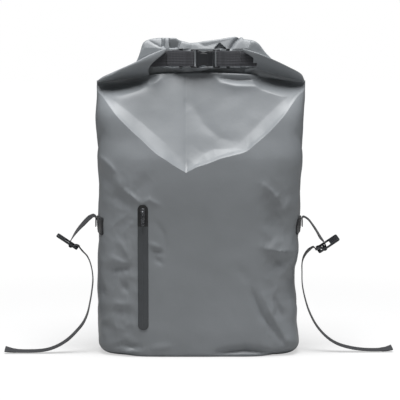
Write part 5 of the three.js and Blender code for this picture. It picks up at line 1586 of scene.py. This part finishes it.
def makeCarryWebbing(side):
    word, anchorUp, webbing = handOf[side], carry["anchorHeight"], carry["webbingThickness"]
    end = padStops(side)[-1]
    x, y = end[0] + side * 2 * mm, end[1] - 1.5 * mm
    z = end[2] - carry["adjusterHeight"] / 2 - carry["adjusterGap"]
    half, slot = carry["webbing"] / 2 + 4 * mm, carry["webbing"] / 2 + 0.8 * mm
    rib, reach = carry["adjusterHeight"] / 14, carry["adjusterHeight"] / 2
    holes = [roundedBox(x - slot, x + slot, z + rib, z + rib + carry["adjusterSlot"], 1 * mm, 3),
             roundedBox(x - slot, x + slot, z - rib - carry["adjusterSlot"], z - rib, 1 * mm, 3)]
    outline = roundedBox(x - half, x + half, z - reach, z + reach, 3.4 * mm)
    thick = carry["adjusterThickness"]
    plate = plateObject(f"adjuster_{word}_moulded", outline, holes, thick, 1 * mm, flatToFront(y))
    rideAs(plate, "plastic", "bag", f"adjuster_{word}")
    foot = side * carry["anchorFromMiddle"]

    def place(u, v):
        return backSeat(foot + u, anchorUp + v)

    patch = patchObject(f"strap_anchor_{word}_sewn", place, backwards, anchor)
    rideAs(patch, "sideWebbing", "bag", f"strap_anchor_{word}")
    stitchRows(f"anchor_stitches_{word}", [borderPath(place, backwards, anchor, 2.4 * mm)], seed=13)
    lie = backSeat(foot, anchorUp)[1] + 2 * seamGap + carry["cloth"] + webbing / 2 + 0.5 * mm
    behind = y - thick / 2 - webbing / 2 - 0.6 * mm
    stops = [(x, behind, z + carry["adjusterHeight"] * 0.22), (x, behind, z - carry["adjusterHeight"] * 0.43),
             (mix(x, foot, 0.4), mix(y, lie, 0.32), mix(z, anchorUp, 0.42)),
             (mix(x, foot, 0.85), mix(y, lie, 0.86), mix(z, anchorUp, 0.84)), (foot, lie, anchorUp),
             (side * (carry["anchorFromMiddle"] + 1 * mm), lie, anchorUp - anchor["height"] * 0.3)]
    route = smoothRoute(stops, 110)
    strap = ribbonObject(f"lower_webbing_{word}_woven", route, np.tile((1.0, 0, 0), (len(route), 1)), {
        "width": carry["webbing"], "thickness": webbing, "ribs": 4, "rise": 0.1 * mm,
        "step": 1.5 * mm, "endCut": roundedCut(carry["webbing"], 1 * mm)})
    rideAs(strap, "sideWebbing", "bag", f"lower_webbing_{word}")


makeYoke()
for side in handOf:
    makePad(side)
    makeCarryWebbing(side)
print("back made")


# Floor and light: one wide softbox almost overhead, a weak fill from the front, and a white that only the
# camera sees, so that the floor throws little light back

studio = {
    "keyPower": 184, "keySize": 2.2, "keyDistance": 3.0, "keyElevation": 76, "keyTurn": 3,
    "fillPower": 1, "fillSize": 1.6, "fillPlace": (-0.3, -2.3, 0.75), "aim": (0, 0, 0.27), "ambient": 0.08,
    "floor": 60, "nearFloor": 0.42, "farFloor": 1.1, "nearGlow": 0.55, "glow": 1.02,
}


def paleFloor():  # lit white near the bag, so that it takes the shadows, and plain white further off
    finish = Finish("paleFloor")
    place = finish.objectPlace()
    away = finish.node("ShaderNodeVectorMath", {"operation": "LENGTH"}, {0: place}, out="Value")
    # The floor glows white for the camera: all glow further off, and a 0.55 share of glow even near the bag,
    # which paints its shadows lighter
    far = finish.ramp(away, studio["nearFloor"], studio["farFloor"], studio["nearGlow"], "SMOOTHSTEP")
    seen = finish.node("ShaderNodeLightPath", out="Is Camera Ray")
    white = finish.blend(finish.noise(place, 0.6), (0.66, 0.66, 0.665, 1), (0.68, 0.68, 0.68, 1))
    base = finish.blend(seen, (0.42, 0.42, 0.42, 1), finish.blend(far, white, (0, 0, 0, 1)))
    glow = finish.blend(far * seen, (0, 0, 0, 1), (1, 1, 1, 1))
    return finish.shade(Base_Color=base, Roughness=0.9, Specular_IOR_Level=0.0, Emission_Color=glow,
                        Emission_Strength=studio["glow"])


def areaLight(name, power, size, place, aim):
    data = bpy.data.lights.new(name, "AREA")
    data.energy, data.size, data.shape = power, size, "SQUARE"
    lamp = linked(name, data)
    lamp.location = place
    lamp.rotation_euler = (Vector(aim) - Vector(place)).to_track_quat("-Z", "Y").to_euler()


def makeStudio():
    half = studio["floor"] / 2
    corners = [(-half, -half, 0), (half, -half, 0), (half, half, 0), (-half, half, 0)]
    floor = makeObject("floor", corners, [(0, 1, 2, 3)])
    floor.data.materials.append(paleFloor())
    heart = Vector(studio["aim"])
    up, aside = math.radians(studio["keyElevation"]), math.radians(studio["keyTurn"])
    way = Vector((math.sin(aside) * math.cos(up), -math.cos(aside) * math.cos(up), math.sin(up)))
    areaLight("key", studio["keyPower"], studio["keySize"], heart + way * studio["keyDistance"], heart)
    areaLight("fill", studio["fillPower"], studio["fillSize"], studio["fillPlace"], heart)
    world = bpy.data.worlds.new("world")
    world.use_nodes = True
    scene.world = world
    tree = world.node_tree
    tree.nodes.clear()
    kinds = ("LightPath", "MixShader", "OutputWorld")
    path, either, end = (tree.nodes.new("ShaderNode" + kind) for kind in kinds)
    tree.links.new(path.outputs["Is Camera Ray"], either.inputs[0])
    for k, strength in ((1, studio["ambient"]), (2, 1.0)):  # what lights the bag, and what the camera sees
        white = tree.nodes.new("ShaderNodeBackground")
        white.inputs["Color"].default_value = (1, 1, 1, 1)
        white.inputs["Strength"].default_value = strength
        tree.links.new(white.outputs[0], either.inputs[k])
    tree.links.new(either.outputs[0], end.inputs[0])
    scene.view_settings.view_transform = "Standard"


makeStudio()
print("floor and light made")
